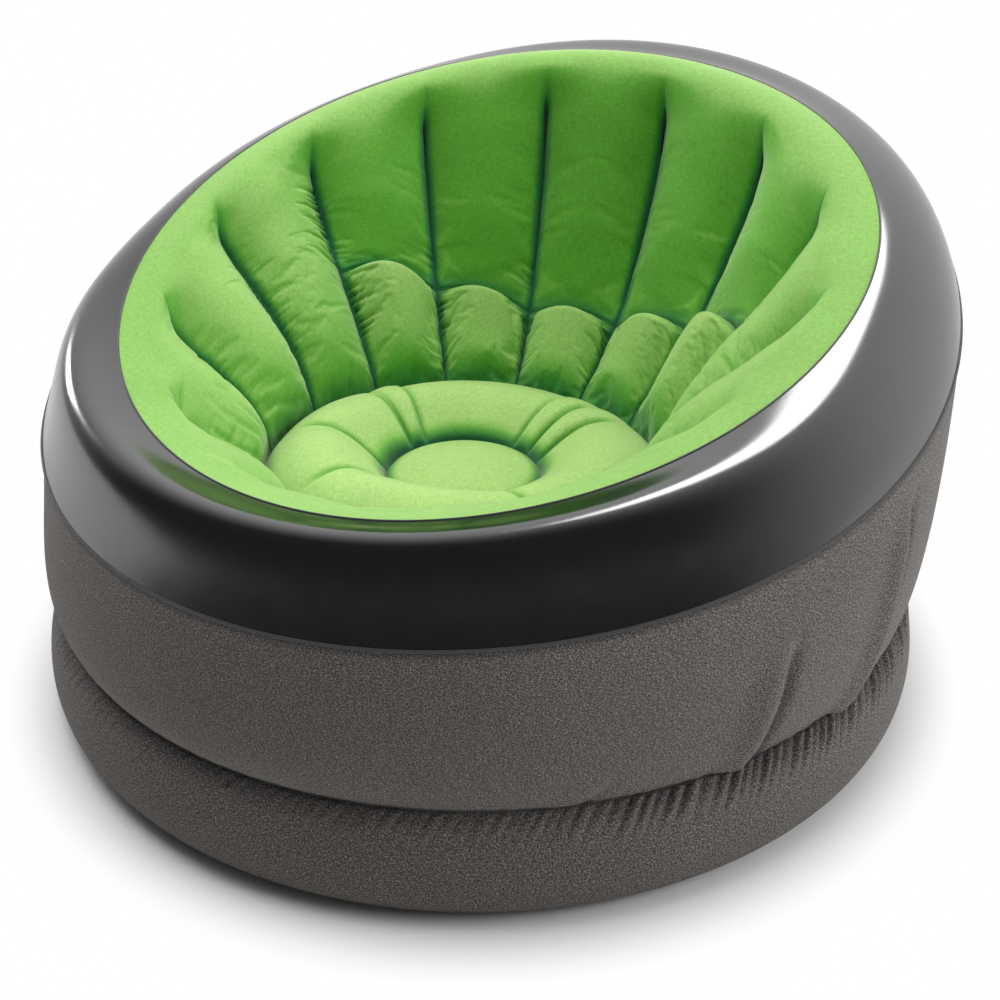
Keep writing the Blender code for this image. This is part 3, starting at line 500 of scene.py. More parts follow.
def shoulder(angle, t):
    """The rounded edge of the bowl, from the rim seam to the channels' tops."""
    a = RIM.at(angle)
    seam = seam_points(angle)
    chord = np.linalg.norm(seam[0] - a, axis=-1, keepdims=True)
    fall = unit(seam[1] - seam[0])
    return bezier(a, a - heading(angle, crown_slope(angle)) * chord * SHOULDER_SHARE,
                  seam[0] - fall * chord * SHOULDER_END_SHARE, seam[0], t)


def facing(surface, angle, t, towards):
    """Unit normals of a surface, on the side of the directions towards."""
    low = clamped(t - PROBE_SHARE)
    high = clamped(t + PROBE_SHARE)
    round_it = surface(angle + PROBE_SHARE, t) - surface(angle - PROBE_SHARE, t)
    along_it = surface(angle, high) - surface(angle, low)
    normal = unit(np.cross(round_it, along_it))
    return normal * np.sign((normal * towards).sum(axis=-1, keepdims=True))


def crowded(share):
    """Shares across a channel, closer together beside its seams."""
    return share - SEAM_CROWDING * np.sin(math.tau * share) / math.tau


def puffed(across):
    """How full a puff is at a share of the way across it: nothing at its seams, one in the middle."""
    return np.maximum(0.0, np.sin(math.pi * across)) ** PUFF_ROUNDNESS


def crease_share(angle, across, in_back):
    """Where the crease crosses a channel: lowest at the back, and arched up between the seams."""
    line = blended(CREASE_SIDE_SHARE, CREASE_BACK_SHARE, backness(angle))
    arch = np.sin(math.pi * across) ** CREASE_ARCH_ROUNDNESS
    return np.where(in_back, line - CREASE_ARCH_SHARE * arch, line)


def round_end(share):
    """How full a puff is at a share of the way in from its end: nothing at it, one from there on."""
    return np.sin(math.pi / 2 * clamped(share)) ** END_ROUNDNESS


def round_chair(values, angle):
    """A value that changes evenly round the chair, from the front past the sides to the back."""
    front, side, back = values
    turned = np.cos(angle)
    return side + (front - side) * np.maximum(0.0, turned) + (back - side) * np.maximum(0.0, -turned)


def crest_height(angle, t, crease, in_back):
    """How far a channel's crest stands out of its seams, t of the way from its top to the seat."""
    height = blended(round_chair(TOP_PUFFS, angle), round_chair(FOOT_PUFFS, angle), t)
    height = height * round_end((1 - t) / FOOT_FADE_SHARE)
    pinch = np.where(t < crease, round_end((crease - t) / CREASE_ABOVE_SHARE),
                     round_end((t - crease) / CREASE_BELOW_SHARE))
    below = clamped((t - crease) / (1 - crease))
    swell = LOWER_SWELL * LOWER_SWELL_SCALE * below**LOWER_SWELL_ROUNDNESS * (1 - below)
    height = height + np.where(in_back, swell, 0.0)
    lean = np.where(t < crease, blended(CREASE_LEAN, 1.0, smooth((crease - t) / CREASE_LEAN_SHARE)), 1.0)
    return np.where(in_back, height * blended(CREASE_PUFF_SHARE, lean, pinch), height)


def puff_way(angle, t):
    """The way a channel puffs: square out of its seams at the top, leaning upwards to the seat."""
    normal = facing(seam_line, angle, t, UPWARDS - heading(angle, 0.0))
    return unit(blended(normal, UPWARDS, column(t * FOOT_LIFT_SHARE)))


def crest_line(angle, t, crease, in_back):
    return seam_line(angle, t) + puff_way(angle, t) * column(crest_height(angle, t, crease, in_back))


def rounded_top(angle, run, crease, in_back):
    """A channel's crest from the rim seam down to where it is fullest: one rounded curve."""
    start = RIM.at(angle)
    fullest = np.full_like(angle, CREST_START_SHARE)
    end = crest_line(angle, fullest, crease, in_back)
    fall = unit(crest_line(angle, fullest + PROBE_SHARE, crease, in_back) - end)
    reach = np.linalg.norm(end - start, axis=-1, keepdims=True)
    return bezier(start, start - heading(angle, crown_slope(angle)) * reach * CREST_ROUND_SHARE,
                  end - fall * reach * CREST_END_SHARE, end, run)


def top_run(t):
    """Shares along the rounded top: nothing at the rim seam, one where the channels are fullest."""
    below = SHOULDER_RUN_SHARE + (1 - SHOULDER_RUN_SHARE) * t / CREST_START_SHARE
    return np.where(t < 0, (1 + t) * SHOULDER_RUN_SHARE, below)


def seam_sink(angle, run):
    """How far the seams are sunk between their channels, along the rounded top."""
    return smooth((run - round_chair(SEAM_STARTS, angle)) / round_chair(SEAM_SINKS, angle))


def bowl_surface(angle, across, t, crease, in_back):
    """The bowl from the rim seam, where t is -1, past the channels' tops at 0, to the seat at 1."""
    down = clamped(t)
    seam = np.where(column(t < 0), shoulder(angle, clamped(1 + t)), seam_line(angle, down))
    whole_run = top_run(t)
    run = clamped(whole_run)
    top = rounded_top(angle, run, crease, in_back)
    crest = np.where(column(run < 1), top, crest_line(angle, down, crease, in_back))
    sunk = seam_sink(angle, whole_run)
    return crest + (seam - crest) * column((1 - puffed(across)) * sunk)


def doubled(grid):
    """A grid of points made twice as fine both ways, along smooth curves through the old points."""
    for axis in (0, 1):
        lines = np.moveaxis(grid, axis, 0)
        before = np.concatenate([2 * lines[:1] - lines[1:2], lines[:-2]])
        after = np.concatenate([lines[2:], 2 * lines[-1:] - lines[-2:-1]])
        middles = (9 * (lines[:-1] + lines[1:]) - before - after) / 16
        finer = np.empty((2 * len(lines) - 1,) + lines.shape[1:])
        finer[::2] = lines
        finer[1::2] = middles
        grid = np.moveaxis(finer, 0, axis)
    return grid


class BowlGrid:
    """The bowl's rows and columns: where each point is across its channel and along it."""

    def __init__(self, fineness):
        steps = BOWL_STEPS * fineness
        turn = np.arange(CHANNEL_COUNT * steps + 1)
        channel = np.minimum(turn // steps, CHANNEL_COUNT - 1)
        across = crowded(turn / steps - channel)
        in_back = channel < BACK_CHANNEL_COUNT
        seam_closed = np.where(turn % steps == 0, 0.0, across)
        angle = BACK_START + (channel + across) * CHANNEL_ANGLE
        crease = crease_share(angle, clamped(seam_closed), in_back)
        shoulder_rows = np.arange(SHOULDER_ROWS * fineness) / (SHOULDER_ROWS * fineness) - 1
        upper = np.arange(UPPER_ROWS * fineness) / (UPPER_ROWS * fineness)
        lower = np.arange(LOWER_ROWS * fineness + 1) / (LOWER_ROWS * fineness)
        rows = [np.full(len(turn), share) for share in shoulder_rows]
        rows += [share * crease for share in upper]
        rows += [blended(crease, 1.0, share) for share in lower]
        self.steps = steps
        self.t = np.array(rows)
        self.shape = self.t.shape
        self.channel, self.across, self.angle, self.in_back, self.crease = [
            np.broadcast_to(row, self.shape) for row in (channel, across, angle, in_back, crease)]
        self.down = clamped(self.t)

    def points(self):
        return bowl_surface(self.angle, self.across, self.t, self.crease, self.in_back)


def lengths_along(points, axis):
    """How far each point of a grid lies along its own row or column, in metres."""
    steps = np.linalg.norm(np.diff(points, axis=axis), axis=-1)
    start = np.zeros_like(steps[:, :1] if axis == 1 else steps[:1])
    return np.concatenate([start, np.cumsum(steps, axis=axis)], axis=axis)


def pucker_depths(grid, points):
    """How deep the puckers beside the seams are at each point of the bowl."""
    across = lengths_along(points, 1)
    length = lengths_along(points, 0)[-1:, grid.steps // 2]
    seams = across[:, ::grid.steps]
    depths = np.zeros(grid.shape)
    for channel, side, start, end, reach, depth, spacing in SEAM_PUCKERS:
        seam = seams[:, channel + side:channel + side + 1]
        away = np.maximum(0.0, (seam - across) * (2 * side - 1))
        run = (grid.t * length + PUCKER_SLANTS[side] * away) / spacing
        run = run + sine(run, *PUCKER_DRIFTS, channel) + PUCKER_SHIFT * channel
        line = np.floor(run + 0.5)
        own_reach = reach * (PUCKER_REACH + sine(line, *PUCKER_REACHES, side))
        wave = 1 - np.abs(np.sin(math.pi * run))
        fall = smooth((1 - away / own_reach) / PUCKER_FALL) * smooth(away / PUCKER_START)
        window = between(grid.t, start, end, PUCKER_FADES)
        depths += np.where(grid.channel == channel, depth * wave * fall * window, 0.0)
    return depths


def fold_depths(grid, points):
    """How deep the single folds are at each point: each a line that bows across its channel."""
    width = lengths_along(points, 1)[:, grid.steps:grid.steps + 1]
    length = lengths_along(points, 0)[-1:]
    depths = np.zeros(grid.shape)
    for channel, across_0, along_0, across_1, along_1, bow, half_width, depth in FOLDS:
        run, side = (grid.t, length, along_0, along_1), (grid.across, width, across_0, across_1)
        if abs(along_1 - along_0) <= FOLD_STEEPNESS * abs(across_1 - across_0):
            run, side = side, run
        share = (run[0] - run[2]) / (run[3] - run[2])
        beside, metres, line_0, line_1 = side
        line = blended(line_0, line_1, share) + bow / 2 * np.sin(math.pi * clamped(share))
        away = (beside - line) * metres / half_width
        swell = FOLD_SWELL * np.exp(-((away - FOLD_SWELL_PLACE) / FOLD_SWELL_WIDTH) ** 2)
        dip = np.exp(-away**2) - swell
        ends = between(share, 0.0, 1.0, FOLD_FADES)
        depths += np.where(grid.channel == channel, depth * dip * ends, 0.0)
    return depths


def seat_tufts(angle):
    """How near each angle is to a tuft of the seat ring: one on it, nothing midway between two."""
    tufts = [BACK_START + step * QUARTER_CHANNEL for step in TUFT_STEPS]
    tufts = sorted(tuft % math.tau for tuft in tufts)
    edges = np.array([tufts[-1] - math.tau] + tufts + [tufts[0] + math.tau])
    turn = angle % math.tau
    k = np.clip(np.searchsorted(edges, turn) - 1, 0, len(edges) - 2)
    return 1 - puffed(clamped((turn - edges[k]) / (edges[k + 1] - edges[k])))


def across_grid(rows, columns):
    """Angles and shares of a plain round sheet: one column more than its steps, which closes it."""
    return np.meshgrid(np.linspace(0.0, math.tau, columns + 1), np.linspace(0.0, 1.0, rows + 1))


def run_lengths(points):
    """How far along its row, and how far down its column, each point of a grid lies, in metres."""
    along = np.linalg.norm(np.diff(points, axis=1), axis=-1).mean(axis=0)
    down = np.linalg.norm(np.diff(points, axis=0), axis=-1).mean(axis=1)
    along = np.concatenate([[0.0], np.cumsum(along)])
    down = np.concatenate([[0.0], np.cumsum(down)])
    return np.stack(np.meshgrid(along, down), axis=-1)


def grid_normals(points):
    """Unit normals of a grid that closes on itself, on the side that its rows and columns turn to."""
    around = np.concatenate([points[:, -2:-1], points, points[:, 1:2]], axis=1)
    along = around[:, 2:] - around[:, :-2]
    down = np.gradient(points, axis=0)
    return unit(np.cross(along, down))


def deselect():
    bpy.ops.object.select_all(action="DESELECT")


def add_skin(name, points, marks, flipped=False):
    """A smooth sheet through a grid of points, closed round; marks are values kept on its points."""
    if flipped:
        points = points[::-1]
        marks = {mark: values[::-1] for mark, values in marks.items()}
    rows, columns = points.shape[:2]
    deselect()
    bpy.ops.mesh.primitive_grid_add(x_subdivisions=columns - 1, y_subdivisions=rows - 1, size=1.0)
    piece = bpy.context.object
    piece.name = name
    mesh = piece.data
    mesh.name = name
    mesh.vertices.foreach_set("co", points.astype(np.float32).ravel())
    corner = np.zeros(len(mesh.loops), dtype=np.int32)
    mesh.loops.foreach_get("vertex_index", corner)
    flat = run_lengths(points).reshape(-1, 2)[corner]
    mesh.uv_layers.active.data.foreach_set("uv", flat.astype(np.float32).ravel())
    for mark, values in marks.items():
        kept = mesh.attributes.new(mark, "FLOAT", "POINT")
        kept.data.foreach_set("value", np.asarray(values, dtype=np.float32).ravel())
    bpy.ops.object.mode_set(mode="EDIT")
    bpy.ops.mesh.select_all(action="SELECT")
    bpy.ops.mesh.remove_doubles(threshold=WELD_DISTANCE)
    bpy.ops.object.mode_set(mode="OBJECT")
    bpy.ops.object.shade_smooth()
    return piece


def dress(piece, finish, slot, *nodes, body="chair"):
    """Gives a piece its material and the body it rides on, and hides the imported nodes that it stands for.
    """
    piece.data.materials.clear()
    piece.data.materials.append(finish)
    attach(piece, body)
    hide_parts(*nodes)


def facing_up_light(points):
    """How much a sheet faces up, where it gets painted light from above."""
    return smooth((np.abs(grid_normals(points)[..., 2]) - TOP_LIGHT_START) / TOP_LIGHT_RANGE)


def bowl_out_of_shade(grid):
    """How far the bowl is out of painted shade: one on the crowns and the shoulder, nothing in a seam, and
    less at the crease and the foot.
    """
    sunk = seam_sink(grid.angle, top_run(grid.t))
    from_seam = np.minimum(grid.across, 1 - grid.across)
    unshaded = 1 - (1 - smooth(from_seam / SEAM_SHADE_SHARE)) * sunk
    from_crease = np.abs(grid.down - grid.crease)
    pinch = np.where(grid.in_back, smooth(from_crease / CREASE_BELOW_SHARE), 1.0)
    foot = smooth((1 - grid.down) / FOOT_FADE_SHARE)
    return unshaded * blended(CREASE_UNSHADED, 1.0, pinch) * blended(FOOT_UNSHADED, 1.0, foot)


def blurred(grid, reach):
    """A grid of movements, evened out over so many points each way."""
    for axis in (0, 1):
        lines = np.moveaxis(grid, axis, 0)
        padded = np.concatenate([lines[:1].repeat(reach, 0), lines, lines[-1:].repeat(reach, 0)])
        total = np.cumsum(np.concatenate([np.zeros_like(padded[:1]), padded]), axis=0)
        grid = np.moveaxis((total[2 * reach + 1:] - total[:-2 * reach - 1]) / (2 * reach + 1), 0, axis)
    return grid


def places_of(mesh):
    places = np.empty(len(mesh.vertices) * 3, dtype=np.float32)
    mesh.vertices.foreach_get("co", places)
    return places.reshape(-1, 3)


def inflated(points, held):
    """How each point of a sheet moves when air presses it against its held seams: the wrinkles alone."""
    sheet = add_skin("trial_sheet", points, {})
    tree = KDTree(len(sheet.data.vertices))
    for index, place in enumerate(places_of(sheet.data)):
        tree.insert(place, index)
    tree.balance()
    flat = points.reshape(-1, 3)
    order = np.array([tree.find(place)[1] for place in flat])
    pins = sheet.vertex_groups.new(name="held")
    pins.add([int(index) for index in np.unique(order[held.ravel()])], 1.0, "REPLACE")
    cloth = sheet.modifiers.new("Cloth", "CLOTH")
    for setting, value in CLOTH_SETTINGS.items():
        setattr(cloth.settings, setting, value)
    cloth.settings.vertex_group_mass = "held"
    cloth.settings.effector_weights.gravity = 0.0
    cloth.collision_settings.use_collision = False
    cloth.point_cache.frame_start = 1
    cloth.point_cache.frame_end = CLOTH_FRAMES
    for frame_number in range(1, CLOTH_FRAMES + 1):
        bpy.context.scene.frame_set(frame_number)
    settled = sheet.evaluated_get(bpy.context.evaluated_depsgraph_get()).to_mesh()
    moved = (places_of(settled)[order] - flat).reshape(points.shape).astype(np.float64)
    mesh = sheet.data
    bpy.data.objects.remove(sheet)
    bpy.data.meshes.remove(mesh)
    bpy.context.scene.frame_set(1)
    wrinkles = moved - blurred(blurred(moved, WRINKLE_REACH), WRINKLE_REACH)
    size = np.linalg.norm(wrinkles, axis=-1, keepdims=True)
    return wrinkles * np.minimum(1.0, WRINKLE_CAP / np.maximum(size, LEAST_WRINKLE))


def wrinkled(grid):
    """How much of its wrinkles each point of the bowl keeps: most on the lower puffs at the back."""
    upper = blended(SIDE_WRINKLES, BACK_WRINKLES, backness(grid.angle))
    upper = upper * smooth((grid.t - WRINKLE_START) / WRINKLE_FADE)
    return np.where(grid.in_back & (grid.down > grid.crease), 1.0, upper)


def top_and_side_light(grid, points):
    """How much painted light the green gets: where it faces up, and most on the lower puffs and the sides."""
    low = between(grid.down, grid.crease, 1.0, LOW_FADES) * grid.in_back
    side = (1 - np.abs(np.cos(grid.angle))) * smooth(grid.down / SIDE_FADE) * ~grid.in_back
    return UPWARD_LIGHT * facing_up_light(points) + LOW_PUFF_LIGHT * low + SIDE_LIGHT * side


def make_bowl(finish):
    grid = BowlGrid(2)
    points = grid.points()
    coarse = BowlGrid(1)
    seam_columns = np.arange(coarse.shape[1]) % BOWL_STEPS == 0
    held = np.broadcast_to(seam_columns, coarse.shape) & (coarse.t > HELD_FROM)
    held = held | (coarse.t == coarse.t[-1:]) | (coarse.t == -1)
    held = held | ((coarse.t == coarse.crease) & coarse.in_back)
    points = points + doubled(inflated(coarse.points(), held)) * column(wrinkled(grid))
    depths = pucker_depths(grid, points) + fold_depths(grid, points)
    inwards = grid_normals(points)
    points = points + inwards * column(depths) * -np.sign(inwards[..., 2:].mean())
    # The green gets painted shade in its seams, crease and foot, and painted light where it faces up, on the
    # lower puffs and at the sides.
    bowl = add_skin("bowl_skin", points, {"unshaded": bowl_out_of_shade(grid), "painted_light": top_and_side_light(grid, points)})
    dress(bowl, finish, "flocked_green", "bowl_panel", "lumbar_panel")


def tuft_creases(angle, t):
    """The thin crease that runs over the ring at each tuft: one on its line, nothing beside it."""
    radius = blended(SEAT_RADIUS, DISC_RADIUS, t)
    crease = np.zeros_like(angle)
    for k, step in enumerate(TUFT_STEPS):
        bend = sine(k, *TUFT_BENDS) * (1 - t)
        away = turned_from(angle, BACK_START + (step + bend) * QUARTER_CHANNEL)
        crease = np.maximum(crease, np.exp(-(away * radius / TUFT_CREASE_WIDTH) ** 2))
    return crease * between(t, TUFT_CREASE_START, 1.0, TUFT_CREASE_FADES)


def seat_surface(angle, t):
    """The seat ring, from its outer seam to the middle puff's."""
    line = blended(SEAT.at(angle), DISC.at(angle), column(t))
    inner = blended(TUFT_CROWN_SHARE, 1.0, smooth(2 * t - 1))
    puff = blended(SEAT_PUFF, SEAT_FRONT_PUFF, frontness(angle))
    rise = puffed(t) * (puff - SEAT_TUFT_DEPTH * inner * seat_tufts(angle))
    return line + UPWARDS * column(rise - TUFT_CREASE * tuft_creases(angle, t))


def make_seat(finish):
    angle, t = across_grid(*SEAT_GRID)
    points = seat_surface(angle, t)
    # Painted shade beside the ring's seams and in its tuft creases, and painted light where it faces up.
    unshaded = smooth(np.minimum(t, 1 - t) / SEAT_SHADE) * (1 - TUFT_SHADE * tuft_creases(angle, t))
    ring = add_skin("seat_ring_skin", points, {"unshaded": unshaded, "painted_light": facing_up_light(points)})
    dress(ring, finish, "flocked_green", "seat_ring")
    angle, t = across_grid(*DISC_GRID)
    middle = np.array([0.0, SEAT_CENTRE_Y, DISC_HEIGHT])
    points = blended(DISC.at(angle), middle, column(t)) + UPWARDS * column(puffed(t / 2) * DISC_PUFF)
    # Painted shade at the disc's edge, and painted light all over it.
    marks = {"unshaded": smooth(t / DISC_SHADE), "painted_light": np.ones_like(t)}
    disc = add_skin("seat_disc_skin", points, marks)
    dress(disc, finish, "flocked_green", "seat_disc")


def make_rim(finish):
    rim = add_skin("rim_skin", rim_surface(*across_grid(*RIM_GRID)), {}, flipped=True)
    dress(rim, finish, "gloss_charcoal", "rim_wrap")


def ruched(angle, down, spacing, slant):
    """Gathered folds side by side, slanting as they run down: one on each fold's line, nothing between."""
    run = (angle * WAIST_RADIUS + slant * down) / spacing
    run = run + sine(run, *SLOW_DRIFTS) + sine(run, *QUICK_DRIFTS)
    strength = GATHER_SIZE + sine(np.floor(run), *GATHER_SIZES)
    return np.abs(np.sin(math.pi * run)) ** GATHER_ROUNDNESS * strength


def gathered(angle):
    """How strongly the sheet is gathered at the waist, most at the chair's right side."""
    turn = angle % math.tau
    return blended(GATHER_FAINT, 1.0, between(turn, GATHER_START, GATHER_END, GATHER_SIDE_FADES))


def wall_folds(angle, t):
    """How far the side wall stands out over its plain curve: folds that rise from the waist, and gathers."""
    out = sine(angle, *WALL_SWAY) * np.sin(math.pi * t)
    for foot, head, top, depth, swell in WALL_FOLDS:
        share = clamped((1 - t) / (1 - top))
        bowed = share + WALL_FOLD_BOW * np.sin(math.pi * share)
        line = blended(math.radians(foot), math.radians(head), bowed)
        away = turned_from(angle, line) * WAIST_RADIUS
        ends = between(t, top, 1.0, WALL_FOLD_FADES)
        dip = np.exp(-(away / WALL_FOLD_WIDTH) ** 2)
        bulge = np.exp(-((away + WALL_SWELL_PLACE) / WALL_SWELL_WIDTH) ** 2)
        out = out + ends * (swell * bulge - depth * dip)
    low = between(t, WALL_GATHER_START, 1.0, WALL_GATHER_FADES)
    return out + WALL_GATHER_DEPTH * low * gathered(angle) * ruched(angle, t, WALL_GATHER_SPACING, 0.0)


def from_valve(place):
    """How far a place at the back lies from the valve's axis; the front is never near."""
    return math.hypot(place.x, place.z - VALVE_HEIGHT) if place.y > 0.0 else math.inf


def open_port(wall):
    """Cuts a round hole where the valve's neck goes through the sheet; the neck's lip covers its edge."""
    mesh = bmesh.new()
    mesh.from_mesh(wall.data)
    behind = [face for face in mesh.faces if from_valve(face.calc_center_median()) < PORT_RADIUS]
    bmesh.ops.delete(mesh, geom=behind, context="FACES")
    for point in mesh.verts:
        away = from_valve(point.co)
        if point.is_boundary and away < PORT_EDGE_REACH * PORT_RADIUS:
            point.co.x *= PORT_RADIUS / away
            point.co.z = VALVE_HEIGHT + (point.co.z - VALVE_HEIGHT) * PORT_RADIUS / away
    mesh.to_mesh(wall.data)
    mesh.free()


def make_walls(finish):
    angle, t = across_grid(*WALL_GRID)
    points = wall_surface(angle, t)
    outwards = facing(wall_surface, angle, t, heading(angle, 0.0))
    points = points + outwards * column(wall_folds(angle, t))
    # Painted shade along the wall's seams at the rim and the waist.
    unshaded = smooth(np.minimum(t, 1 - t) / WALL_SHADE)
    wall = add_skin("wall_skin", points, {"unshaded": unshaded}, flipped=True)
    open_port(wall)
    dress(wall, finish, "woven_grey", "side_wall")
    angle, t = across_grid(*BASE_GRID)
    points = base_surface(angle, t)
    outwards = facing(base_surface, angle, t, heading(angle, BASE_FACING))
    gather = gathered(angle)
    folds = between(t, 0.0, GATHER_REACH, GATHER_FADES) * gather
    folds = folds * ruched(angle, t, GATHER_SPACING, GATHER_SLANT)
    points = points + outwards * column(GATHER_DEPTH * folds)
    # Painted shade on the base: a little all over, and more just under the waist between the gathers, most
    # where they are strong.
    strength = blended(*GATHER_SHADES, smooth((gather - GATHER_FAINT) / (1 - GATHER_FAINT)))
    gather_shade = smooth((GATHER_SHADE_END - t) / GATHER_SHADE_FADE) * (1 - folds) * strength
    base = add_skin("base_skin", points, {"unshaded": BASE_UNSHADED * (1 - gather_shade)}, flipped=True)
    dress(base, finish, "woven_grey", "base_wall")


def make_bead(name, loop, radius, finish):
    """The thin welded edge that stands in a seam."""
    angle, t = across_grid(*BEAD_GRID)
    out = heading(angle, 0.0) * column(np.cos(math.tau * t))
    points = loop.at(angle) + (out + UPWARDS * column(np.sin(math.tau * t))) * radius
    dress(add_skin(name, points, {}), finish, "plain_grey")


class Nodes:
    """Places and joins a material's nodes."""

    def __init__(self, tree):
        self.tree = tree

    def add(self, kind, **settings):
        node = self.tree.nodes.new("ShaderNode" + kind)
        for name, value in settings.items():
            setattr(node, name, value)
        return node

    def join(self, source, target):
        self.tree.links.new(source, target)

    def feed(self, socket, value):
        """Joins another socket to this one, or sets it to a plain value."""
        if isinstance(value, bpy.types.NodeSocket):
            self.join(value, socket)
        else:
            socket.default_value = value

    def put(self, node, **values):
        """Feeds a node's inputs by name, with underscores for spaces."""
        for name, value in values.items():
            self.feed(node.inputs[name.replace("_", " ")], value)
        return node

    def ramp(self, factor, stops):
        node = self.add("ValToRGB")
        points = node.color_ramp.elements
        while len(points) < len(stops):
            points.new(0.5)
        for point, (place, colour) in zip(points, stops):
            point.position = place
            point.color = (*colour, 1.0)
        self.join(factor, node.inputs["Fac"])
        return node.outputs["Color"]

    def mix(self, factor, a, b, blend="MIX"):
        node = self.add("Mix", data_type="RGBA", blend_type=blend)
        self.feed(node.inputs[0], factor)
        self.feed(node.inputs[6], a)
        self.feed(node.inputs[7], b)
        return node.outputs[2]

    def sum(self, operation, *values):
        node = self.add("Math", operation=operation)
        for socket, value in zip(node.inputs, values):
            self.feed(socket, value)
        return node.outputs[0]


def new_finish(name):
    finish = bpy.data.materials.new(name)
    finish.use_nodes = True
    nodes = Nodes(finish.node_tree)
    return finish, nodes, finish.node_tree.nodes["Principled BSDF"]


def new_group(name, inputs):
    """An empty node group with a place, float inputs, and a shade and a height that it puts out."""
    group = bpy.data.node_groups.new(name, "ShaderNodeTree")
    group.interface.new_socket("Place", in_out="INPUT", socket_type="NodeSocketVector")
    for socket in inputs:
        group.interface.new_socket(socket, in_out="INPUT", socket_type="NodeSocketFloat")
    for socket in ("Shade", "Height"):
        group.interface.new_socket(socket, in_out="OUTPUT", socket_type="NodeSocketFloat")
    nodes = Nodes(group)
    return group, nodes, group.nodes.new("NodeGroupInput"), group.nodes.new("NodeGroupOutput")


def noise(nodes, place, scale, detail=2.0, roughness=0.5):
    node = nodes.put(nodes.add("TexNoise"), Vector=place, Scale=scale, Detail=detail,
                     Roughness=roughness)
    return node.outputs["Fac"]


def make_threads():
    """Fine crossed threads that follow a sheet, so many to the metre across it and down it."""
    group, nodes, given, result = new_group("Crossed threads", ("Across", "Down"))
    streaks = []
    for first, second in (("Across", "Down"), ("Down", "Across")):
        stretch = nodes.put(nodes.add("CombineXYZ"), X=given.outputs[first],
                            Y=given.outputs[second], Z=1.0)
        place = nodes.add("VectorMath", operation="MULTIPLY")
        nodes.join(given.outputs["Place"], place.inputs[0])
        nodes.join(stretch.outputs[0], place.inputs[1])
        streaks.append(noise(nodes, place.outputs[0], 1.0, 1.0))
    nodes.join(nodes.sum("MULTIPLY_ADD", nodes.sum("ADD", *streaks), 1.6, -1.1), result.inputs["Shade"])
    nodes.join(nodes.sum("MAXIMUM", *streaks), result.inputs["Height"])
    return group


def make_sheet_group():
    """Soft patches and fine grain of a vinyl sheet."""
    group, nodes, given, result = new_group("Sheet grain", ("Patches", "Grain"))
    place = given.outputs["Place"]
    patches = noise(nodes, place, given.outputs["Patches"], 3.0)
    grain = noise(nodes, place, given.outputs["Grain"], 1.0)
    nodes.join(nodes.sum("MULTIPLY_ADD", nodes.sum("ADD", patches, grain), 1.3, -0.8), result.inputs["Shade"])
    nodes.join(nodes.sum("MULTIPLY_ADD", grain, 0.08, patches), result.inputs["Height"])
    return group


def place_group(nodes, group, **values):
    node = nodes.add("Group")
    node.node_tree = group
    return nodes.put(node, **values)


def shaded(nodes, colour, *shades):
    """A colour made lighter and darker by shades that are 0.5 on average, each with its strength."""
    value = 1.0
    for shade, strength in shades:
        value = nodes.sum("ADD", nodes.sum("MULTIPLY_ADD", shade, strength, -0.5 * strength), value)
    return nodes.put(nodes.add("HueSaturation"), Color=colour, Value=value).outputs["Color"]


def raised(nodes, shader, *heights):
    """Bumps laid over each other: each a height, its strength and its depth in metres."""
    normal = None
    for height, strength, depth in heights:
        bump = nodes.put(nodes.add("Bump"), Height=height, Strength=strength, Distance=depth)
        if normal is not None:
            nodes.join(normal, bump.inputs["Normal"])
        normal = bump.outputs["Normal"]
    nodes.join(normal, shader.inputs["Normal"])


def mark(nodes, name):
    return nodes.add("Attribute", attribute_name=name).outputs["Fac"]


def flocked_green(threads, grain):
    """Short green flock on vinyl: paler in painted light, and deep and bluish in painted shade in its seams,
    at its crease and its foot.
    """
    finish, nodes, shader = new_finish("Flocked green")
    place = nodes.add("TexCoord")
    weave = place_group(nodes, threads, Place=place.outputs["UV"], Across=130.0, Down=560.0)
    sheet = place_group(nodes, grain, Place=place.outputs["Object"], Patches=16.0, Grain=170.0)
    nap = noise(nodes, place.outputs["Object"], 1100.0, 1.0)
    # Painted shade darkens the green in its seams, at the crease and the foot; painted light pales it where
    # it faces up, on the lower puffs and at the sides.
    unshaded = mark(nodes, "unshaded")
    colour = nodes.mix(mark(nodes, "painted_light"), nodes.ramp(unshaded, GREENS_WITHOUT_LIGHT),
                       nodes.ramp(unshaded, GREENS_IN_LIGHT))
    colour = shaded(nodes, colour, (weave.outputs["Shade"], 0.22), (sheet.outputs["Shade"], 0.16),
                    (nap, 0.30))
    nodes.put(shader, Base_Color=colour, Roughness=nodes.sum("MULTIPLY_ADD", nap, 0.2, 0.75),
              Sheen_Weight=0.8, Sheen_Roughness=0.40, Sheen_Tint=SHEEN_TINT,
              Specular_IOR_Level=0.2)
    raised(nodes, shader, (weave.outputs["Height"], 0.25, 0.0006), (nap, 0.35, 0.0005))
    return finish


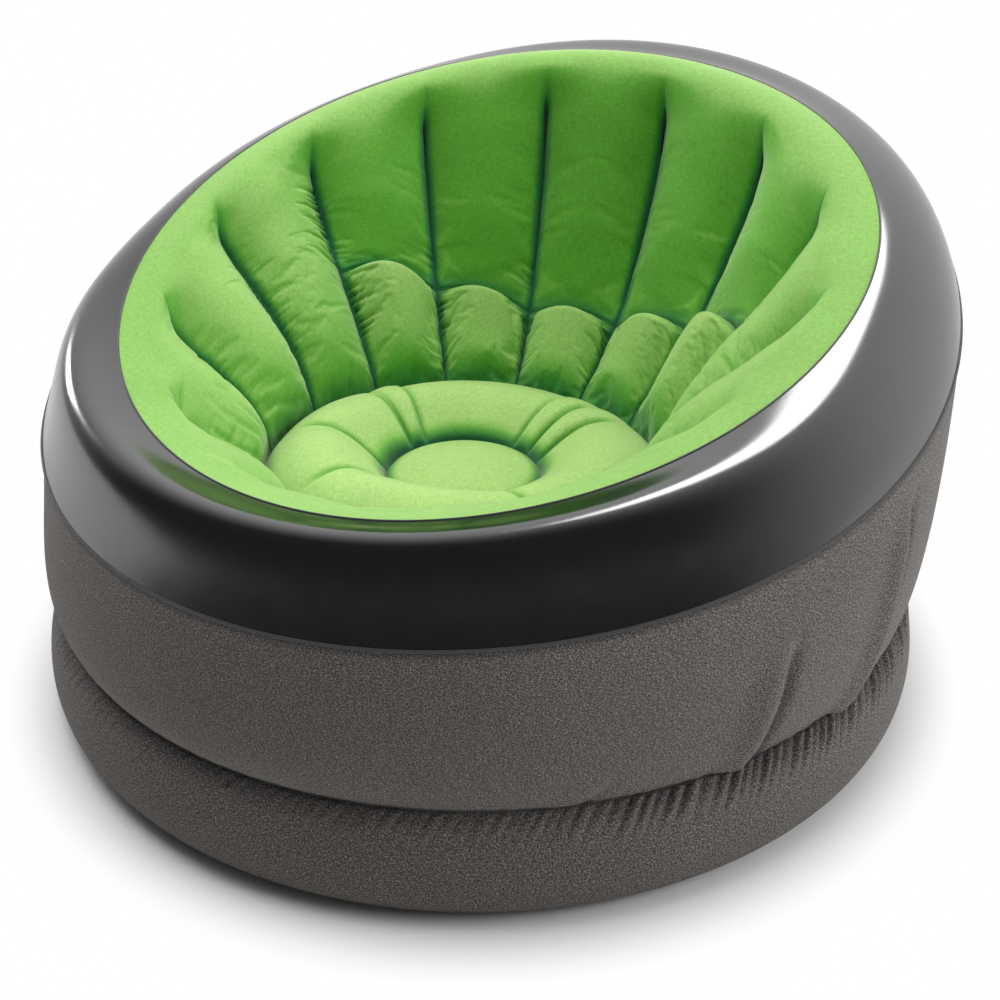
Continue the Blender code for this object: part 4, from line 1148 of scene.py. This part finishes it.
def woven_grey(threads, grain):
    """Grey sheet printed and pressed like a heathered cloth of dark, brown and pale threads."""
    finish, nodes, shader = new_finish("Woven grey")
    place = nodes.add("TexCoord")
    weave = place_group(nodes, threads, Place=place.outputs["UV"], Across=420.0, Down=800.0)
    sheet = place_group(nodes, grain, Place=place.outputs["Object"], Patches=9.0, Grain=260.0)
    flecks = noise(nodes, place.outputs["Object"], 520.0, 2.0, 0.7)
    warmth = noise(nodes, place.outputs["Object"], 230.0, 1.0)
    mixed = nodes.sum("MULTIPLY_ADD", weave.outputs["Shade"], 0.5, nodes.sum("MULTIPLY", flecks, 0.5))
    colour = nodes.ramp(mixed, THREAD_GREYS)
    brown = nodes.mix(nodes.sum("MULTIPLY_ADD", warmth, 3.0, -1.2), colour, THREAD_BROWN, "MULTIPLY")
    colour = nodes.mix(0.35, colour, brown)
    colour = shaded(nodes, colour, (sheet.outputs["Shade"], 0.14))
    # Painted shade darkens the grey along its seams and under the waist.
    colour = nodes.mix(1.0, colour, nodes.ramp(mark(nodes, "unshaded"), SHADE_GREYS), "MULTIPLY")
    nodes.put(shader, Base_Color=colour, Roughness=nodes.sum("MULTIPLY_ADD", mixed, 0.25, 0.62),
              Specular_IOR_Level=0.3)
    raised(nodes, shader, (weave.outputs["Height"], 0.45, 0.0007), (flecks, 0.3, 0.0004))
    return finish


def rubbed_sheet(grain, name, colour, scales, shades, shine, depth, **settings):
    """A plain sheet or moulded plastic with soft patches, fine grain and a shine rubbed by handling."""
    finish, nodes, shader = new_finish(name)
    place = nodes.add("TexCoord").outputs["Object"]
    sheet = place_group(nodes, grain, Place=place, Patches=scales[0], Grain=scales[1])
    rubbed = noise(nodes, place, scales[2], 4.0, 0.65)
    colour = shaded(nodes, colour, (sheet.outputs["Shade"], shades[0]), (rubbed, shades[1]))
    nodes.put(shader, Base_Color=colour, Roughness=nodes.sum("MULTIPLY_ADD", rubbed, *shine), **settings)
    raised(nodes, shader, (sheet.outputs["Height"], *depth))
    return finish


def moulded(grain, name, colour, roughness):
    return rubbed_sheet(grain, name, colour, (24.0, 900.0, 70.0), (0.12, 0.10), (0.2, roughness - 0.1),
                        (0.25, 0.0004))


def eased(nodes, value, span, **ends):
    node = nodes.add("MapRange", interpolation_type="SMOOTHSTEP")
    nodes.put(node, Value=value, From_Min=span[0], From_Max=span[1], **ends)
    return node.outputs["Result"]


def turned_white(nodes, share, shader, white_kind, output):
    """Gives an output a shader that turns to plain white by a share."""
    white = nodes.put(nodes.add(white_kind), Color=WHITE, Strength=1.0)
    both = nodes.add("MixShader")
    nodes.join(share, both.inputs[0])
    nodes.join(shader.outputs[0], both.inputs[1])
    nodes.join(white.outputs[0], both.inputs[2])
    nodes.join(both.outputs[0], output.inputs["Surface"])


def make_stage():
    """A white floor that keeps the chair's shadow, and turns to plain white away from it."""
    deselect()
    bpy.ops.mesh.primitive_plane_add(size=FLOOR_SIZE)
    floor = bpy.context.object
    floor.name = "studio_floor"
    finish, nodes, shader = new_finish("Studio floor")
    place = nodes.add("TexCoord").outputs["Object"]
    mottle = noise(nodes, place, 3.0, 3.0)
    nodes.put(shader, Base_Color=shaded(nodes, FLOOR_WHITE, (mottle, 0.02)), Roughness=0.9,
              Specular_IOR_Level=0.2)
    distance = nodes.add("VectorMath", operation="LENGTH")
    nodes.join(place, distance.inputs[0])
    away = eased(nodes, distance.outputs["Value"], FLOOR_BLEND)
    path = nodes.add("LightPath")
    seen = nodes.sum("MAXIMUM", nodes.sum("MAXIMUM", path.outputs["Is Camera Ray"],
                                          path.outputs["Is Glossy Ray"]),
                     path.outputs["Is Transmission Ray"])
    turned_white(nodes, nodes.sum("MULTIPLY", away, seen), shader,
                 "Emission", finish.node_tree.nodes["Material Output"])
    floor.data.materials.append(finish)


def add_lamp(name, place, aim, size, power, in_gloss):
    """A softbox, which only the gloss mirrors where in_gloss is true, and only the rest shows if not."""
    light = bpy.data.lights.new(name, "AREA")
    light.shape = "RECTANGLE"
    light.size, light.size_y = size
    light.energy = power
    lamp = bpy.data.objects.new(name, light)
    bpy.context.scene.collection.objects.link(lamp)
    lamp.location = place
    lamp.rotation_mode = "QUATERNION"
    lamp.rotation_quaternion = (Vector(aim) - Vector(place)).to_track_quat("-Z", "Y")
    lamp.visible_camera = False
    lamp.visible_glossy = in_gloss
    lamp.visible_diffuse = not in_gloss


def make_light():
    """A white studio, brighter behind the chair than in front, with softboxes above and around."""
    world = bpy.data.worlds.new("Studio")
    bpy.context.scene.world = world
    world.use_nodes = True
    nodes = Nodes(world.node_tree)
    room = world.node_tree.nodes["Background"]
    room.inputs["Color"].default_value = WHITE
    direction = nodes.put(nodes.add("SeparateXYZ"),
                          Vector=nodes.add("TexCoord").outputs["Generated"])
    bright = eased(nodes, direction.outputs["Y"], ROOM_BLEND, To_Min=ROOM_FRONT, To_Max=ROOM_BACK)
    nodes.join(bright, room.inputs["Strength"])
    path = nodes.add("LightPath")
    seen = nodes.sum("MAXIMUM", path.outputs["Is Camera Ray"], path.outputs["Is Transmission Ray"])
    turned_white(nodes, seen, room, "Background", world.node_tree.nodes["World Output"])
    for softbox in SOFTBOXES:
        add_lamp(*softbox)


def make_camera():
    camera = bpy.data.cameras.new("Camera")
    camera.sensor_width = CAMERA_SENSOR
    camera.lens = CAMERA_LENS
    eye = bpy.data.objects.new("Camera", camera)
    bpy.context.scene.collection.objects.link(eye)
    eye.location = CAMERA_PLACE
    eye.rotation_mode = "QUATERNION"
    eye.rotation_quaternion = Vector(CAMERA_WAY).to_track_quat("-Z", "Y")
    bpy.context.scene.camera = eye


bpy.context.scene.view_settings.view_transform = "Standard"
threads = make_threads()
grain = make_sheet_group()
finishes = {
    "flocked_green": flocked_green(threads, grain),
    "gloss_charcoal": rubbed_sheet(grain, "Gloss charcoal", GLOSS_BLACK, (7.0, 420.0, 34.0), (0.3, 0.3),
                                   (0.08, 0.14), (0.16, 0.0020), IOR=2.15),
    "woven_grey": woven_grey(threads, grain),
    "plain_grey": moulded(grain, "Plain grey vinyl", VINYL_GREY, 0.5),
    "valve_grey": moulded(grain, "Moulded grey", VALVE_GREY, 0.42),
    "clear_white": moulded(grain, "Milky film", FILM_WHITE, 0.3),
}
make_bowl(finishes["flocked_green"])
make_seat(finishes["flocked_green"])
make_rim(finishes["gloss_charcoal"])
make_walls(finishes["woven_grey"])
for bead in BEADS:
    make_bead(*bead, finishes["plain_grey"])
for part in frame["record"]["subparts"]:
    if part["node"] in frame["nodes"]:
        skin = frame["nodes"][part["node"]].data.materials
        skin.clear()
        skin.append(finishes[part["material_slot"]])
make_stage()
make_light()
make_camera()
